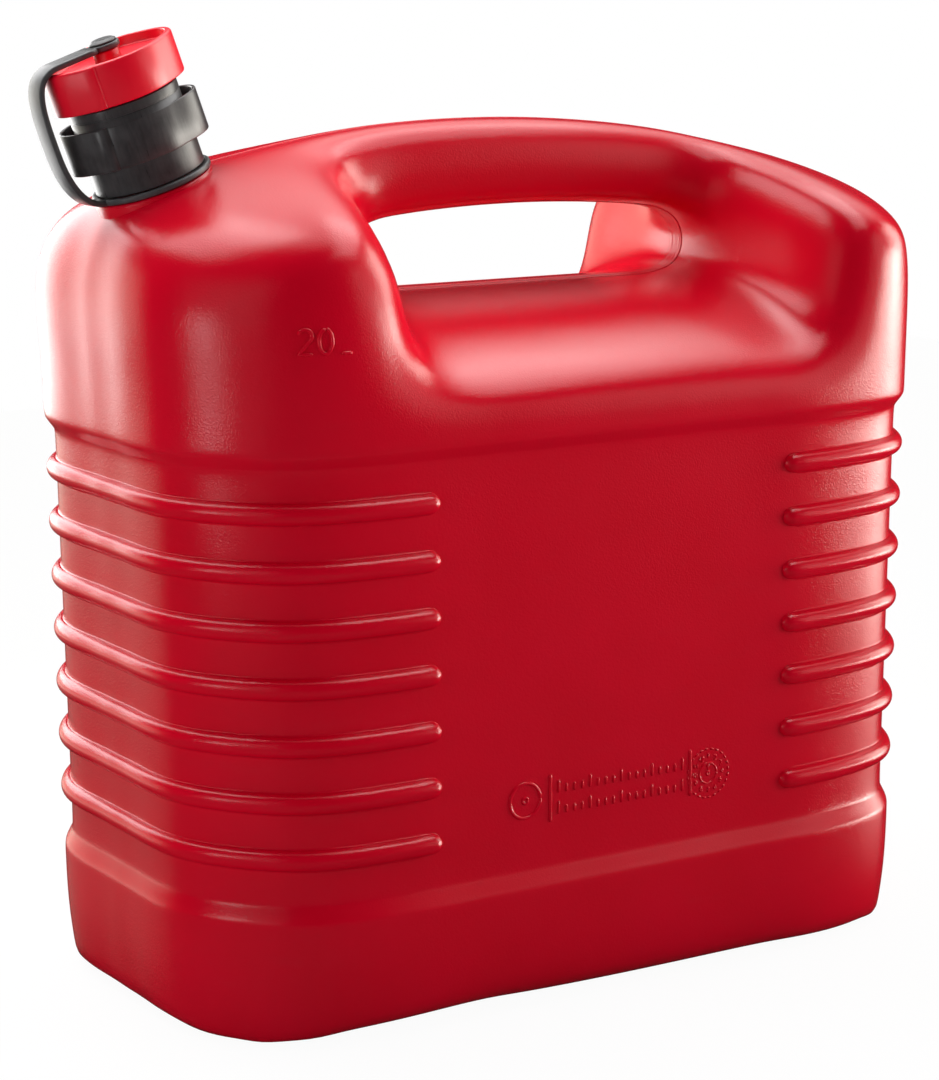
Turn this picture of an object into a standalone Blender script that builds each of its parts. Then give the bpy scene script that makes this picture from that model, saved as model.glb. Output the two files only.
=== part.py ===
"""Plastic fuel jerrycan, 20 litres.

A blow-moulded can with a hollow carrying handle, end ribs and a tilted filler neck. On the neck sit
a winged collar nut, a pouring spout stored upside down in the can, a two-lobed screw cap with its
seal, and a flexible strap that keeps the cap on the can.

Metres, +Z up. X runs along the can, with the neck at the -X end, and the mould halves part at Y = 0.
The origin is the middle of the underside, which rests on Z = 0.
"""
import math

import bmesh
import bpy
from mathutils import Matrix, Vector

# Plan of the can's recessed wall, and how far the other zones stand proud of it
WALL_HALF_LENGTH = 0.1807
WALL_HALF_WIDTH = 0.1034
WALL_CORNER_RADIUS = 0.0694
END_DRAFT_SHARE = 0.0156
SKIRT_STEP = 0.0037
BAND_STEP = 0.0043
WALL_THICKNESS = 0.0026
BASE_THICKNESS = 0.0052

# Heights of the zones
BASE_FILLET_HEIGHT = 0.024
BASE_FILLET_INSET = 0.003
BASE_HEEL_RISE = 0.0045
SKIRT_TOP = 0.0533
SKIRT_SLOPE = 0.0062
WALL_BOTTOM = SKIRT_TOP + SKIRT_SLOPE
WALL_HEIGHT = 0.1775
WALL_TOP = WALL_BOTTOM + WALL_HEIGHT
BAND_SLOPE = 0.0052
BAND_BOTTOM = WALL_TOP + BAND_SLOPE
PIER_MIDDLE_RISE = 0.0298
PIER_MIDDLE = BAND_BOTTOM + PIER_MIDDLE_RISE

# Crown of the top, seen from the side and from the end, and how far below it the ends' shoulders are
ARCH_RISE = 0.1246
ARCH_TOP = BAND_BOTTOM + ARCH_RISE
ARCH_CENTRE = -0.005
ARCH_RADIUS = 0.568
CROWN_RADIUS = 0.200
NECK_END_DROP = 0.0272
FAR_END_DROP = 0.0323
SHOULDER_SHARE = 0.64
SHOULDER_INSET = 0.0045
NECK_END_BULGE = 0.0030
FRONT_EDGE_RISE = 0.0060

# Handle and the recess under it
HANDLE_HALF_WIDTH = 0.0184
HANDLE_DEPTH = 0.0372
UNDERSIDE_CENTRE = 0.013
FLOOR_RIDGE_RISE = 0.0513
FLOOR_RIDGE = BAND_BOTTOM + FLOOR_RIDGE_RISE
FLOOR_SLOPE_DROP = 0.0065
FLOOR_EDGE_RISE = 0.0258
FLOOR_FRONT_EDGE = BAND_BOTTOM + FLOOR_EDGE_RISE
FLOOR_CORNER_DROP = 0.0040
HOLE_LEFT = -0.0760
HOLE_LEFT_DRAFT = 0.0180
HOLE_LEFT_MIDDLE_LEAN = 0.0010
HOLE_LEFT_TOP_LEAN = 0.0240
HOLE_RIGHT = 0.1050
HOLE_RIGHT_DRAFT = 0.0060
HOLE_RIGHT_MIDDLE_LEAN = 0.0055
HOLE_RIGHT_TOP_LEAN = 0.0140
RECESS_ROW = -0.0600

# End ribs
RIB_COUNT = 7
RIB_PITCH = 0.0235
TOP_RIB_DROP = 0.0171
TOP_RIB_HEIGHT = WALL_TOP - TOP_RIB_DROP
RIB_RADIUS = 0.0045
RIB_PROUD = 0.0043
RIB_TIP = 0.0914

# Two shallow grooves across the base
NECK_END_GROOVE_X = -0.122
FAR_END_GROOVE_X = 0.083
GROOVE_RADIUS = 0.022
GROOVE_DEPTH = 0.0024

# Filler neck: its axis leaves the crown here, this far above the crown's line, leaning to the -X end
NECK_FOOT_X = -0.1606
NECK_FOOT_RISE = 0.00081
NECK_TILT = math.radians(20)
NECK_RADIUS = 0.0207
NECK_WALL = 0.0027
NECK_BORE = NECK_RADIUS - NECK_WALL
NECK_TOP = 0.0160
NECK_ROOT = 0.0300
SEAT_LEDGE = 0.0043
SEAT_RADIUS = NECK_RADIUS + SEAT_LEDGE
SEAT_TOP = -0.0031

# Clearances, and one overrun for every cut
FACE_GAP = 0.0003
THREAD_GAP = 0.0005
CUT_OVERRUN = 0.010

# Collar nut
NUT_SKIRT = 0.0024
NUT_RADIUS = NECK_RADIUS + NUT_SKIRT
NUT_BOTTOM = 0.0
NUT_FLANGE_THICKNESS = 0.0030
NUT_SHOULDER = 0.0354
NUT_THREAD_STEP = 0.0017
NUT_THREAD_RADIUS = NUT_RADIUS - NUT_THREAD_STEP
NUT_TUBE_WALL = 0.0046
NUT_TUBE_BORE = NUT_THREAD_RADIUS - NUT_TUBE_WALL
NUT_TOP = 0.0450
WING_BOTTOM = 0.0109
WING_TOP = 0.0285
WING_SPREAD = 0.0064
WING_RADIUS = NUT_RADIUS + WING_SPREAD
WING_WALL = 0.0017
WING_NOSE_ANGLE = math.radians(221)

# Seals and spout
SEAL_THICKNESS = 0.0018
SPOUT_FLANGE_THICKNESS = 0.0020
SPOUT_WALL = 0.0017
SPOUT_ROOM = 0.0018
SPOUT_ROOT_RADIUS = NECK_BORE - SPOUT_ROOM
SPOUT_TIP_RADIUS = 0.0108
SPOUT_LENGTH = 0.150
SPOUT_LIP_LENGTH = 0.012

# Closing cap
CAP_SKIRT = 0.0027
CAP_RADIUS = NUT_THREAD_RADIUS + CAP_SKIRT
CAP_LOBE_SPREAD = 0.0043
CAP_LOBE_RADIUS = CAP_RADIUS + CAP_LOBE_SPREAD
CAP_HEIGHT = 0.0176
CAP_CEILING = 0.0022
CAP_RIM = 0.0026
CAP_BOSS_RADIUS = 0.0055
CAP_BOSS_RISE = 0.0008
CAP_NOSE_ANGLE = math.radians(231)
CAP_EDGE = 0.0007

# Strap and its rivet
STRAP_WIDTH = 0.0120
STRAP_THICKNESS = 0.0024
STRAP_RING_PLAY = 0.0006
STRAP_RING_INNER = NECK_RADIUS + STRAP_RING_PLAY
STRAP_RING_WIDTH = 0.0039
STRAP_RING_OUTER = STRAP_RING_INNER + STRAP_RING_WIDTH
STRAP_CLEARANCE = 0.0080
STRAP_REACH = CAP_LOBE_RADIUS + STRAP_CLEARANCE
STRAP_WIDEST = 0.0240
STRAP_STRAIGHT = 0.0235
STRAP_TOP_PULL = 0.0128
STRAP_UPPER_PULL = 0.0185
STRAP_LOWER_PULL = 0.0180
STRAP_FOOT_PULL = 0.0068
STRAP_EYE_RADIUS = 0.0066
RIVET_SHANK = 0.0022
RIVET_NECK = 0.0030
RIVET_HEAD_RADIUS = 0.0056
RIVET_HEAD_HEIGHT = 0.0013
RIVET_DEPTH = 0.0035

# Faceting
TURNED_STEPS = 40
BORE_STEPS = 36
RIB_SIDES_RESOLUTION = 2
TIP_POINTS = 3
LOBE_POINTS = 24
BEND_POINTS = 10
SPLINE_ROUNDS = 24
HALF_WAY_SPLINE_SHARE = 23 / 24
BODY_LEVELS = 1
MERGE_DISTANCE = 0.00001
QUARTER_TURN = math.radians(90)
SHARP_ANGLE = math.radians(35)
BEVEL_ANGLE = math.radians(60)
TIP_START_SHARE = 0.15

# Places round a corner of the plan, as angles from the end face, that carry the cage
NECK_CORNER_ANGLES = (math.radians(15), math.radians(45), math.radians(75))
FAR_CORNER_ANGLES = (math.radians(10), math.radians(36), math.radians(62))
MIDDLE_COLUMN_SHARES = (0.19, 0.50, 0.81)

# Columns and rows of the cage; the hand hole lies between the columns of the two piers
COLUMN_COUNT = 8
ROW_COUNT = 3
PIER_COLUMN_COUNT = 2

# The base's edge round the half plan: its rise at each place, and how sharp it is from each to the next
HEEL_RISE_SHARES = (0, 0, 0, 0, 0.75, 1, 0.4, 0, 0, 0, 0, 0, 0, 0, 0)
BASE_CREASE_SHARES = (0.34, 0.34, 0.42, 0.42, 0.30, 0.20, 0.20, 0.20, 0.20, 0.30, 0.42, 0.42, 0.34, 0.34)

# Lobes of the cap and of the collar's wings, as shares of the way from one nose to the next
LOBE_COUNT = 2
LOBE_START_SHARE = 0.40
LOBE_PEAK_SHARE = 0.70
LOBE_NOSE_SHARE = 0.93
NOSE_RISE_SHARE = 0.32
NOSE_SHARES = (0.945, 0.965, 0.98, 0.99, 0.997)

COLLECTION_NAME = "plastic_jerrycan"
RED = (0.46, 0.004, 0.012, 1.0)
CAP_RED = (0.52, 0.006, 0.010, 1.0)
GREY = (0.090, 0.086, 0.084, 1.0)
SEAL_BLACK = (0.020, 0.020, 0.020, 1.0)
SPOUT_GREY = (0.12, 0.115, 0.11, 1.0)
CAN_ROUGHNESS = 0.42
CAP_ROUGHNESS = 0.33
NUT_ROUGHNESS = 0.38
STRAP_ROUGHNESS = 0.50
SPOUT_ROUGHNESS = 0.45
RUBBER_ROUGHNESS = 0.70


# Scene, materials and collections

def clear_scene():
    for obj in list(bpy.data.objects):
        bpy.data.objects.remove(obj, do_unlink=True)


def new_collection(name, hidden=False):
    collection = bpy.data.collections.new(name)
    bpy.context.scene.collection.children.link(collection)
    collection.hide_render = hidden
    return collection


def plastic(name, colour, roughness):
    material = bpy.data.materials.new(name)
    material.use_nodes = True
    shader = material.node_tree.nodes["Principled BSDF"]
    shader.inputs["Base Color"].default_value = colour
    shader.inputs["Roughness"].default_value = roughness
    shader.inputs["Metallic"].default_value = 0.0
    return material


def add_object(name, mesh, collection, material=None, parent=None):
    obj = bpy.data.objects.new(name, mesh)
    collection.objects.link(obj)
    if material:
        mesh.materials.append(material)
    if parent:
        obj.parent = parent
    return obj


def add_cutter(name, mesh, parent=None):
    obj = add_object(name, mesh, bpy.data.collections["cutters"], parent=parent)
    obj.hide_render = True
    obj.display_type = "WIRE"
    return obj


def boolean(obj, other, operation):
    modifier = obj.modifiers.new(other.name, "BOOLEAN")
    modifier.operation = operation
    modifier.object = other
    modifier.solver = "EXACT"


def shade(obj):
    obj.data.shade_smooth()
    obj.data.set_sharp_from_angle(angle=SHARP_ANGLE)


# Turned pieces and outlines

def turned_mesh(name, profile):
    """Closed profile of (radius, height) points, running down its outer side, as loose edges."""
    mesh = bpy.data.meshes.new(name)
    points = [(radius, 0.0, height) for radius, height in profile]
    count = len(points)
    mesh.from_pydata(points, [(i, (i + 1) % count) for i in range(count)], [])
    return mesh


def turn(obj, steps):
    screw = obj.modifiers.new("turn", "SCREW")
    screw.steps = steps
    screw.render_steps = steps
    screw.use_merge_vertices = True
    screw.merge_threshold = MERGE_DISTANCE
    screw.use_smooth_shade = True


def cylinder_mesh(name, radius, bottom, top, steps):
    mesh = bpy.data.meshes.new(name)
    bm = bmesh.new()
    place = Matrix.Translation((0, 0, (bottom + top) / 2))
    bmesh.ops.create_cone(bm, cap_ends=True, segments=steps, radius1=radius, radius2=radius,
                          depth=top - bottom, matrix=place)
    bm.to_mesh(mesh)
    bm.free()
    return mesh


def mesh_of_curve(curve_object):
    """The curve as one closed mesh, in place, with its caps welded; the curve is removed."""
    graph = bpy.context.evaluated_depsgraph_get()
    mesh = bpy.data.meshes.new_from_object(curve_object.evaluated_get(graph))
    bm = bmesh.new()
    bm.from_mesh(mesh)
    bmesh.ops.remove_doubles(bm, verts=bm.verts, dist=MERGE_DISTANCE)
    bmesh.ops.recalc_face_normals(bm, faces=bm.faces)
    bm.transform(curve_object.matrix_world)
    bm.to_mesh(mesh)
    bm.free()
    bpy.data.objects.remove(curve_object, do_unlink=True)
    return mesh


def prism_mesh(name, outline, bottom, top):
    """A flat outline, a list of (x, y), given its thickness from bottom to top."""
    curve = bpy.data.curves.new(name, "CURVE")
    curve.dimensions = "2D"
    curve.fill_mode = "BOTH"
    curve.extrude = (top - bottom) / 2
    spline = curve.splines.new("POLY")
    spline.points.add(len(outline) - 1)
    for point, (x, y) in zip(spline.points, outline):
        point.co = (x, y, 0, 1)
    spline.use_cyclic_u = True
    curve_object = bpy.data.objects.new(name, curve)
    bpy.context.scene.collection.objects.link(curve_object)
    curve_object.location.z = (bottom + top) / 2
    bpy.context.view_layer.update()
    return mesh_of_curve(curve_object)


# Plan of the can

def half_length(height):
    """The ends lean outwards a little towards the top."""
    return WALL_HALF_LENGTH + END_DRAFT_SHARE * height


def corner_point(side, angle, step, height):
    radius = WALL_CORNER_RADIUS + step
    centre_x = half_length(height) - WALL_CORNER_RADIUS
    centre_y = WALL_HALF_WIDTH - WALL_CORNER_RADIUS
    return Vector((side * (centre_x + radius * math.cos(angle)), -centre_y - radius * math.sin(angle)))


def recess_columns(skin):
    """X of the recess's two ends and of the three columns between them, at the parting plane."""
    left = HOLE_LEFT - skin
    right = HOLE_RIGHT + skin
    between = [left + share * (right - left) for share in MIDDLE_COLUMN_SHARES]
    return [left] + between + [right]


def half_plan(step, height):
    """Points of the plan on the front half, from the neck end round to the far end."""
    end = half_length(height) + step
    front = -(WALL_HALF_WIDTH + step)
    points = [Vector((-end, 0.0)), Vector((-end, -HANDLE_HALF_WIDTH))]
    points += [corner_point(-1, angle, step, height) for angle in NECK_CORNER_ANGLES]
    points += [Vector((x, front)) for x in recess_columns(0.0)]
    points += [corner_point(1, angle, step, height) for angle in reversed(FAR_CORNER_ANGLES)]
    points += [Vector((end, -HANDLE_HALF_WIDTH)), Vector((end, 0.0))]
    return points


def spline_controls(points):
    """Control points of the closed cubic spline that passes through the given points."""
    count = len(points)
    controls = [point.copy() for point in points]
    for _ in range(SPLINE_ROUNDS):
        smooth = [(controls[i - 1] + controls[i] * 4 + controls[(i + 1) % count]) / 6
                  for i in range(count)]
        controls = [c + p - s for c, p, s in zip(controls, points, smooth)]
    return controls


def full_plan(step, height):
    half = half_plan(step, height)
    back = [Vector((p.x, -p.y)) for p in reversed(half[1:-1])]
    return half + back


def half_plan_controls(step, height):
    return spline_controls(full_plan(step, height))[:len(half_plan(step, height))]


def plan_polygon(step, height):
    """The plan as the subdivided body has it: the spline at its knots and half way between."""
    points = full_plan(step, height)
    controls = spline_controls(points)
    count = len(points)
    polygon = []
    for i in range(count):
        outer = (controls[i - 1] + controls[(i + 2) % count]) / 2
        inner = (controls[i] + controls[(i + 1) % count]) / 2
        polygon += [points[i], outer.lerp(inner, HALF_WAY_SPLINE_SHARE)]
    return polygon


# Heights of the top

def arch(x, centre=ARCH_CENTRE):
    return ARCH_TOP - (x - centre) ** 2 / (2 * ARCH_RADIUS)


def crown_drop(y):
    return y ** 2 / (2 * CROWN_RADIUS)


def underside(x):
    return arch(x, UNDERSIDE_CENTRE) - HANDLE_DEPTH


def shoulder_bottom():
    """Height where the piers begin to round over to the top."""
    return BAND_BOTTOM + SHOULDER_SHARE * (ARCH_TOP - NECK_END_DROP - BAND_BOTTOM)


# Cage of the can: columns along X, rows from the parting plane to the front, layers upwards

def outer_layers():
    """(height, how far the plan stands proud of the wall, edge) of each layer below the recess."""
    return [
        (0.0, SKIRT_STEP - BASE_FILLET_INSET, "base"),
        (BASE_FILLET_HEIGHT, SKIRT_STEP, "smooth"),
        (SKIRT_TOP, SKIRT_STEP, "sharp"),
        (WALL_BOTTOM, 0.0, "sharp"),
        (WALL_TOP, 0.0, "sharp"),
        (BAND_BOTTOM, BAND_STEP, "sharp"),
    ]


def inner_layers():
    return [
        (BASE_THICKNESS, -WALL_THICKNESS, "smooth"),
        (BASE_FILLET_HEIGHT, -WALL_THICKNESS, "smooth"),
        (WALL_TOP, -WALL_THICKNESS, "smooth"),
    ]


def ring_index(column, row):
    """Place of a cage corner in half_plan, or None where the corner is inside the plan."""
    if column == 0:
        return row
    if column == COLUMN_COUNT:
        return 2 * ROW_COUNT + COLUMN_COUNT - row
    return ROW_COUNT + column if row == ROW_COUNT else None


def first_hole_column():
    return PIER_COLUMN_COUNT


def last_hole_column():
    return COLUMN_COUNT - PIER_COLUMN_COUNT


def at_recess_end(column, left, right):
    """Minus the left size or the right size at the recess's two end columns, nothing elsewhere."""
    if column == first_hole_column():
        return -left
    return right if column == last_hole_column() else 0.0


def column_x(column, row, height, skin):
    """X of a column inside the plan; the recess's ends lean and draft away from the hole."""
    if column < first_hole_column():
        return corner_point(-1, NECK_CORNER_ANGLES[-1], BAND_STEP - skin, height).x
    if column > last_hole_column():
        return corner_point(1, FAR_CORNER_ANGLES[-1], BAND_STEP - skin, height).x
    draft = at_recess_end(column, HOLE_LEFT_DRAFT, HOLE_RIGHT_DRAFT) * (row / ROW_COUNT) ** 2
    return recess_columns(skin)[column - first_hole_column()] + draft


def row_y(row, skin):
    return (0.0, -HANDLE_HALF_WIDTH + skin, RECESS_ROW, -WALL_HALF_WIDTH - BAND_STEP + skin)[row]


def floor_corner(column, row, skin, ring):
    """Layer of the recess floor; on the piers it is a plain ring half way up."""
    if first_hole_column() <= column <= last_hole_column():
        x = column_x(column, row, PIER_MIDDLE, skin)
        at_end = abs(at_recess_end(column, FLOOR_CORNER_DROP, FLOOR_CORNER_DROP))
        front = FLOOR_FRONT_EDGE - at_end
        height = (FLOOR_RIDGE, FLOOR_RIDGE, FLOOR_RIDGE - FLOOR_SLOPE_DROP, front)[row]
        return Vector((x, row_y(row, skin), height - skin))
    if ring is not None:
        return Vector((ring.x, ring.y, PIER_MIDDLE - skin))
    return None


def underside_corner(column, row, skin, ring):
    """Layer of the handle's underside; on the piers it is the foot of the shoulder."""
    if ring is not None and not first_hole_column() <= column <= last_hole_column():
        bulge = 0.0 if column else NECK_END_BULGE
        return Vector((ring.x - bulge, ring.y, shoulder_bottom() - skin))
    x = column_x(column, row, shoulder_bottom(), skin)
    if row <= 1:
        return Vector((x, row_y(row, skin), underside(x) + skin))
    x += at_recess_end(column, HOLE_LEFT_MIDDLE_LEAN, HOLE_RIGHT_MIDDLE_LEAN)
    return Vector((x, row_y(row, skin), shoulder_bottom()))


def top_corner(column, row, skin, ring):
    """Layer of the crowned top, with its outermost corners drawn in and down at the shoulder."""
    if column in (0, COLUMN_COUNT):
        drop = FAR_END_DROP if column else NECK_END_DROP
        inset = ring * (1 - SHOULDER_INSET / WALL_HALF_WIDTH)
        return Vector((inset.x, inset.y, ARCH_TOP - drop - crown_drop(ring.y) - skin))
    x = column_x(column, row, shoulder_bottom(), skin)
    y = row_y(row, skin)
    x += at_recess_end(column, HOLE_LEFT_TOP_LEAN, HOLE_RIGHT_TOP_LEAN) * row / ROW_COUNT
    if row < ROW_COUNT:
        return Vector((x, y, arch(x) - crown_drop(y) - skin))
    front = y + SHOULDER_INSET
    edge = Vector((x, front)) if column in (first_hole_column(), last_hole_column()) else ring
    height = arch(edge.x) - crown_drop(y) + FRONT_EDGE_RISE - skin
    return Vector((edge.x, max(edge.y, front), height))


def cage_corners(layers, skin):
    """Position of every cage corner, by (column, row, layer)."""
    corners = {}
    heights = [height for height, _, _ in layers]
    steps = [step for _, step, _ in layers]
    upper = (floor_corner, underside_corner, top_corner)
    upper_heights = (PIER_MIDDLE, shoulder_bottom(), shoulder_bottom())
    rings = [half_plan_controls(step, height) for height, step in zip(heights, steps)]
    rings += [half_plan_controls(BAND_STEP - skin, height) for height in upper_heights]
    for column in range(COLUMN_COUNT + 1):
        for row in range(ROW_COUNT + 1):
            place = ring_index(column, row)
            for layer, ring in enumerate(rings):
                edge = ring[place] if place is not None else None
                if layer >= len(layers):
                    corner = upper[layer - len(layers)](column, row, skin, edge)
                elif edge is not None:
                    heel = 0.0 if layer else BASE_HEEL_RISE * HEEL_RISE_SHARES[place]
                    corner = Vector((edge.x, edge.y, heights[layer] + heel))
                else:
                    x = column_x(column, row, BAND_BOTTOM, skin)
                    corner = Vector((x, row_y(row, skin), heights[layer]))
                corners[column, row, layer] = corner
    return corners


def edge_crease(edge_kind, place):
    """Crease of a layer's edge that starts at a place of the half plan."""
    if edge_kind == "base":
        return BASE_CREASE_SHARES[place]
    return 1.0 if edge_kind == "sharp" else 0.0


def cell_is_full(column, row, layer, floor_layer):
    """Below the floor the can is whole; above it only the two piers and the handle are."""
    if layer < floor_layer:
        return True
    if not first_hole_column() <= column < last_hole_column():
        return True
    return row == 0 and layer == floor_layer + 1


def cage_mesh(name, layers, skin):
    """Skin of the full cells, open at the parting plane, where Mirror adds the other half."""
    corners = cage_corners(layers, skin)
    floor_layer = len(layers)
    top_layer = floor_layer + 2
    full = {(c, r, l) for c in range(COLUMN_COUNT) for r in range(ROW_COUNT) for l in range(top_layer)
            if cell_is_full(c, r, l, floor_layer)}
    sides = {
        (-1, 0, 0): ((0, 0, 0), (0, 0, 1), (0, 1, 1), (0, 1, 0)),
        (1, 0, 0): ((1, 0, 0), (1, 1, 0), (1, 1, 1), (1, 0, 1)),
        (0, 1, 0): ((0, 1, 0), (0, 1, 1), (1, 1, 1), (1, 1, 0)),
        (0, -1, 0): ((0, 0, 0), (1, 0, 0), (1, 0, 1), (0, 0, 1)),
        (0, 0, -1): ((0, 0, 0), (0, 1, 0), (1, 1, 0), (1, 0, 0)),
        (0, 0, 1): ((0, 0, 1), (1, 0, 1), (1, 1, 1), (0, 1, 1)),
    }
    bm = bmesh.new()
    made = {}

    def vertex(key):
        if key not in made:
            made[key] = bm.verts.new(corners[key])
        return made[key]

    for cell in sorted(full):
        for (dc, dr, dl), quad in sides.items():
            beside = (cell[0] + dc, cell[1] + dr, cell[2] + dl)
            if beside in full or beside[1] < 0:
                continue
            bm.faces.new([vertex(tuple(a + b for a, b in zip(cell, corner))) for corner in quad])
    sharp = bm.edges.layers.float.new("crease_edge")
    places = {vert: key for key, vert in made.items()}
    for edge in bm.edges:
        first, second = (places[vert] for vert in edge.verts)
        ends = {ring_index(*first[:2]), ring_index(*second[:2])}
        layer = first[2]
        if None not in ends and second[2] == layer < floor_layer:
            edge[sharp] = edge_crease(layers[layer][2], min(ends))
    mesh = bpy.data.meshes.new(name)
    bmesh.ops.recalc_face_normals(bm, faces=bm.faces)
    bm.to_mesh(mesh)
    bm.free()
    return mesh


def mirror_and_smooth(obj):
    mirror = obj.modifiers.new("other_half", "MIRROR")
    mirror.use_axis = (False, True, False)
    mirror.merge_threshold = MERGE_DISTANCE
    smooth = obj.modifiers.new("smooth", "SUBSURF")
    smooth.levels = BODY_LEVELS
    smooth.render_levels = BODY_LEVELS


# Ribs

def rib_path(side, height):
    """Centre line of one rib, from its front tip round the end of the can to its back tip."""
    polygon = plan_polygon(RIB_PROUD - RIB_RADIUS, height)
    around = [p for p in polygon if side * p.x > RIB_TIP]
    around.sort(key=lambda p: math.atan2(p.y, side * p.x - RIB_TIP))
    front = -(WALL_HALF_WIDTH + RIB_PROUD - RIB_RADIUS)
    tip = side * (RIB_TIP + RIB_RADIUS)
    return [Vector((tip, front))] + around + [Vector((tip, -front))]


def rounded_ends(path):
    """(point, share of the full radius) along the path, with both ends closed to a dome."""
    shares = []
    for k in range(TIP_POINTS):
        angle = QUARTER_TURN * (k + TIP_START_SHARE) / TIP_POINTS
        shares.append((math.cos(angle), math.sin(angle)))
    first = (path[0] - path[1]).normalized() * RIB_RADIUS
    last = (path[-1] - path[-2]).normalized() * RIB_RADIUS
    head = [(path[0] + first * along, thick) for along, thick in shares]
    tail = [(path[-1] + last * along, thick) for along, thick in reversed(shares)]
    return head + [(point, 1.0) for point in path] + tail


def ribs_mesh():
    """All ribs as bent round bars, sunk half into the wall."""
    curve = bpy.data.curves.new("ribs", "CURVE")
    curve.dimensions = "3D"
    curve.bevel_depth = RIB_RADIUS
    curve.bevel_resolution = RIB_SIDES_RESOLUTION
    curve.use_fill_caps = True
    for side in (-1, 1):
        for number in range(RIB_COUNT):
            height = TOP_RIB_HEIGHT - number * RIB_PITCH
            points = rounded_ends(rib_path(side, height))
            spline = curve.splines.new("POLY")
            spline.points.add(len(points) - 1)
            for point, (place, thick) in zip(spline.points, points):
                point.co = (place.x, place.y, height, 1)
                point.radius = thick
    curve_object = bpy.data.objects.new("ribs", curve)
    bpy.context.scene.collection.objects.link(curve_object)
    bpy.context.view_layer.update()
    return mesh_of_curve(curve_object)


# Body

def neck_frame():
    """An empty at the foot of the neck, with +Z along the neck's axis."""
    frame = bpy.data.objects.new("neck_axis", None)
    bpy.context.scene.collection.objects.link(frame)
    frame.location = (NECK_FOOT_X, 0.0, arch(NECK_FOOT_X) + NECK_FOOT_RISE)
    frame.rotation_euler = (0.0, -NECK_TILT, 0.0)
    return frame


def make_body(collection, material, neck):
    body = add_object("can_body", cage_mesh("can_body", outer_layers(), 0.0), collection, material)
    mirror_and_smooth(body)
    boolean(body, add_cutter("ribs", ribs_mesh()), "UNION")

    profile = [(0.0, NECK_TOP), (NECK_RADIUS, NECK_TOP), (NECK_RADIUS, SEAT_TOP),
               (SEAT_RADIUS, SEAT_TOP), (SEAT_RADIUS, -NECK_ROOT), (0.0, -NECK_ROOT)]
    neck_stub = add_cutter("neck_stub", turned_mesh("neck_stub", profile), neck)
    turn(neck_stub, TURNED_STEPS)
    boolean(body, neck_stub, "UNION")

    cavity = add_cutter("cavity", cage_mesh("cavity", inner_layers(), WALL_THICKNESS))
    mirror_and_smooth(cavity)
    boolean(body, cavity, "DIFFERENCE")

    bore = cylinder_mesh("neck_bore", NECK_BORE, -NECK_ROOT - CUT_OVERRUN, NECK_TOP + CUT_OVERRUN,
                         BORE_STEPS)
    boolean(body, add_cutter("neck_bore", bore, neck), "DIFFERENCE")

    for number, place in enumerate((NECK_END_GROOVE_X, FAR_END_GROOVE_X)):
        half = WALL_HALF_WIDTH + SKIRT_STEP + CUT_OVERRUN
        groove = add_cutter(f"base_groove_{number}",
                            cylinder_mesh("base_groove", GROOVE_RADIUS, -half, half, BORE_STEPS))
        groove.location = (place, 0.0, GROOVE_DEPTH - GROOVE_RADIUS)
        groove.rotation_euler = (QUARTER_TURN, 0.0, 0.0)
        boolean(body, groove, "DIFFERENCE")
    body.data.shade_smooth()


# Two-lobed outline shared by the cap and the collar's wings

def lobe_height(share):
    """Height of the lobe, from 0 to 1, at a share of its way round."""
    if share < LOBE_START_SHARE:
        return 0.0
    if share < LOBE_PEAK_SHARE:
        along = (share - LOBE_START_SHARE) / (LOBE_PEAK_SHARE - LOBE_START_SHARE)
        return (1 - math.cos(math.pi * along)) / 2
    if share < LOBE_NOSE_SHARE:
        along = (share - LOBE_PEAK_SHARE) / (LOBE_NOSE_SHARE - LOBE_PEAK_SHARE)
        return 1 - (1 - NOSE_RISE_SHARE) * (1 - math.cos(math.pi * along)) / 2
    along = (share - LOBE_NOSE_SHARE) / (1 - LOBE_NOSE_SHARE)
    return NOSE_RISE_SHARE * math.sqrt(max(0.0, 1 - along ** 2))


def lobed_outline(small, large, nose_angle, inset=0.0):
    points = []
    shares = [LOBE_NOSE_SHARE * k / LOBE_POINTS for k in range(LOBE_POINTS + 1)]
    for lobe in range(LOBE_COUNT):
        for share in shares + list(NOSE_SHARES):
            radius = small + (large - small) * lobe_height(share) - inset
            angle = nose_angle + (lobe + share) * 2 * math.pi / LOBE_COUNT
            points.append((radius * math.cos(angle), radius * math.sin(angle)))
    return points


# Pieces on the neck

def seal_bottom():
    return NECK_TOP + FACE_GAP


def spout_flange_bottom():
    return seal_bottom() + SEAL_THICKNESS + FACE_GAP


def nut_flange_bottom():
    return spout_flange_bottom() + SPOUT_FLANGE_THICKNESS + FACE_GAP


def cap_bottom():
    return NUT_SHOULDER + 2 * FACE_GAP


def cap_seal_bottom():
    return NUT_TOP + FACE_GAP


def cap_ceiling_bottom():
    return cap_seal_bottom() + SEAL_THICKNESS + FACE_GAP


def cap_top():
    return cap_bottom() + CAP_HEIGHT


def strap_eye_bottom():
    return cap_top() + CAP_BOSS_RISE + FACE_GAP


def make_neck_seal(collection, material, neck):
    bottom = seal_bottom()
    top = bottom + SEAL_THICKNESS
    profile = [(NECK_RADIUS, top), (NECK_RADIUS, bottom), (NECK_BORE, bottom), (NECK_BORE, top)]
    seal = add_object("neck_seal", turned_mesh("neck_seal", profile), collection, material, neck)
    turn(seal, TURNED_STEPS)


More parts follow.
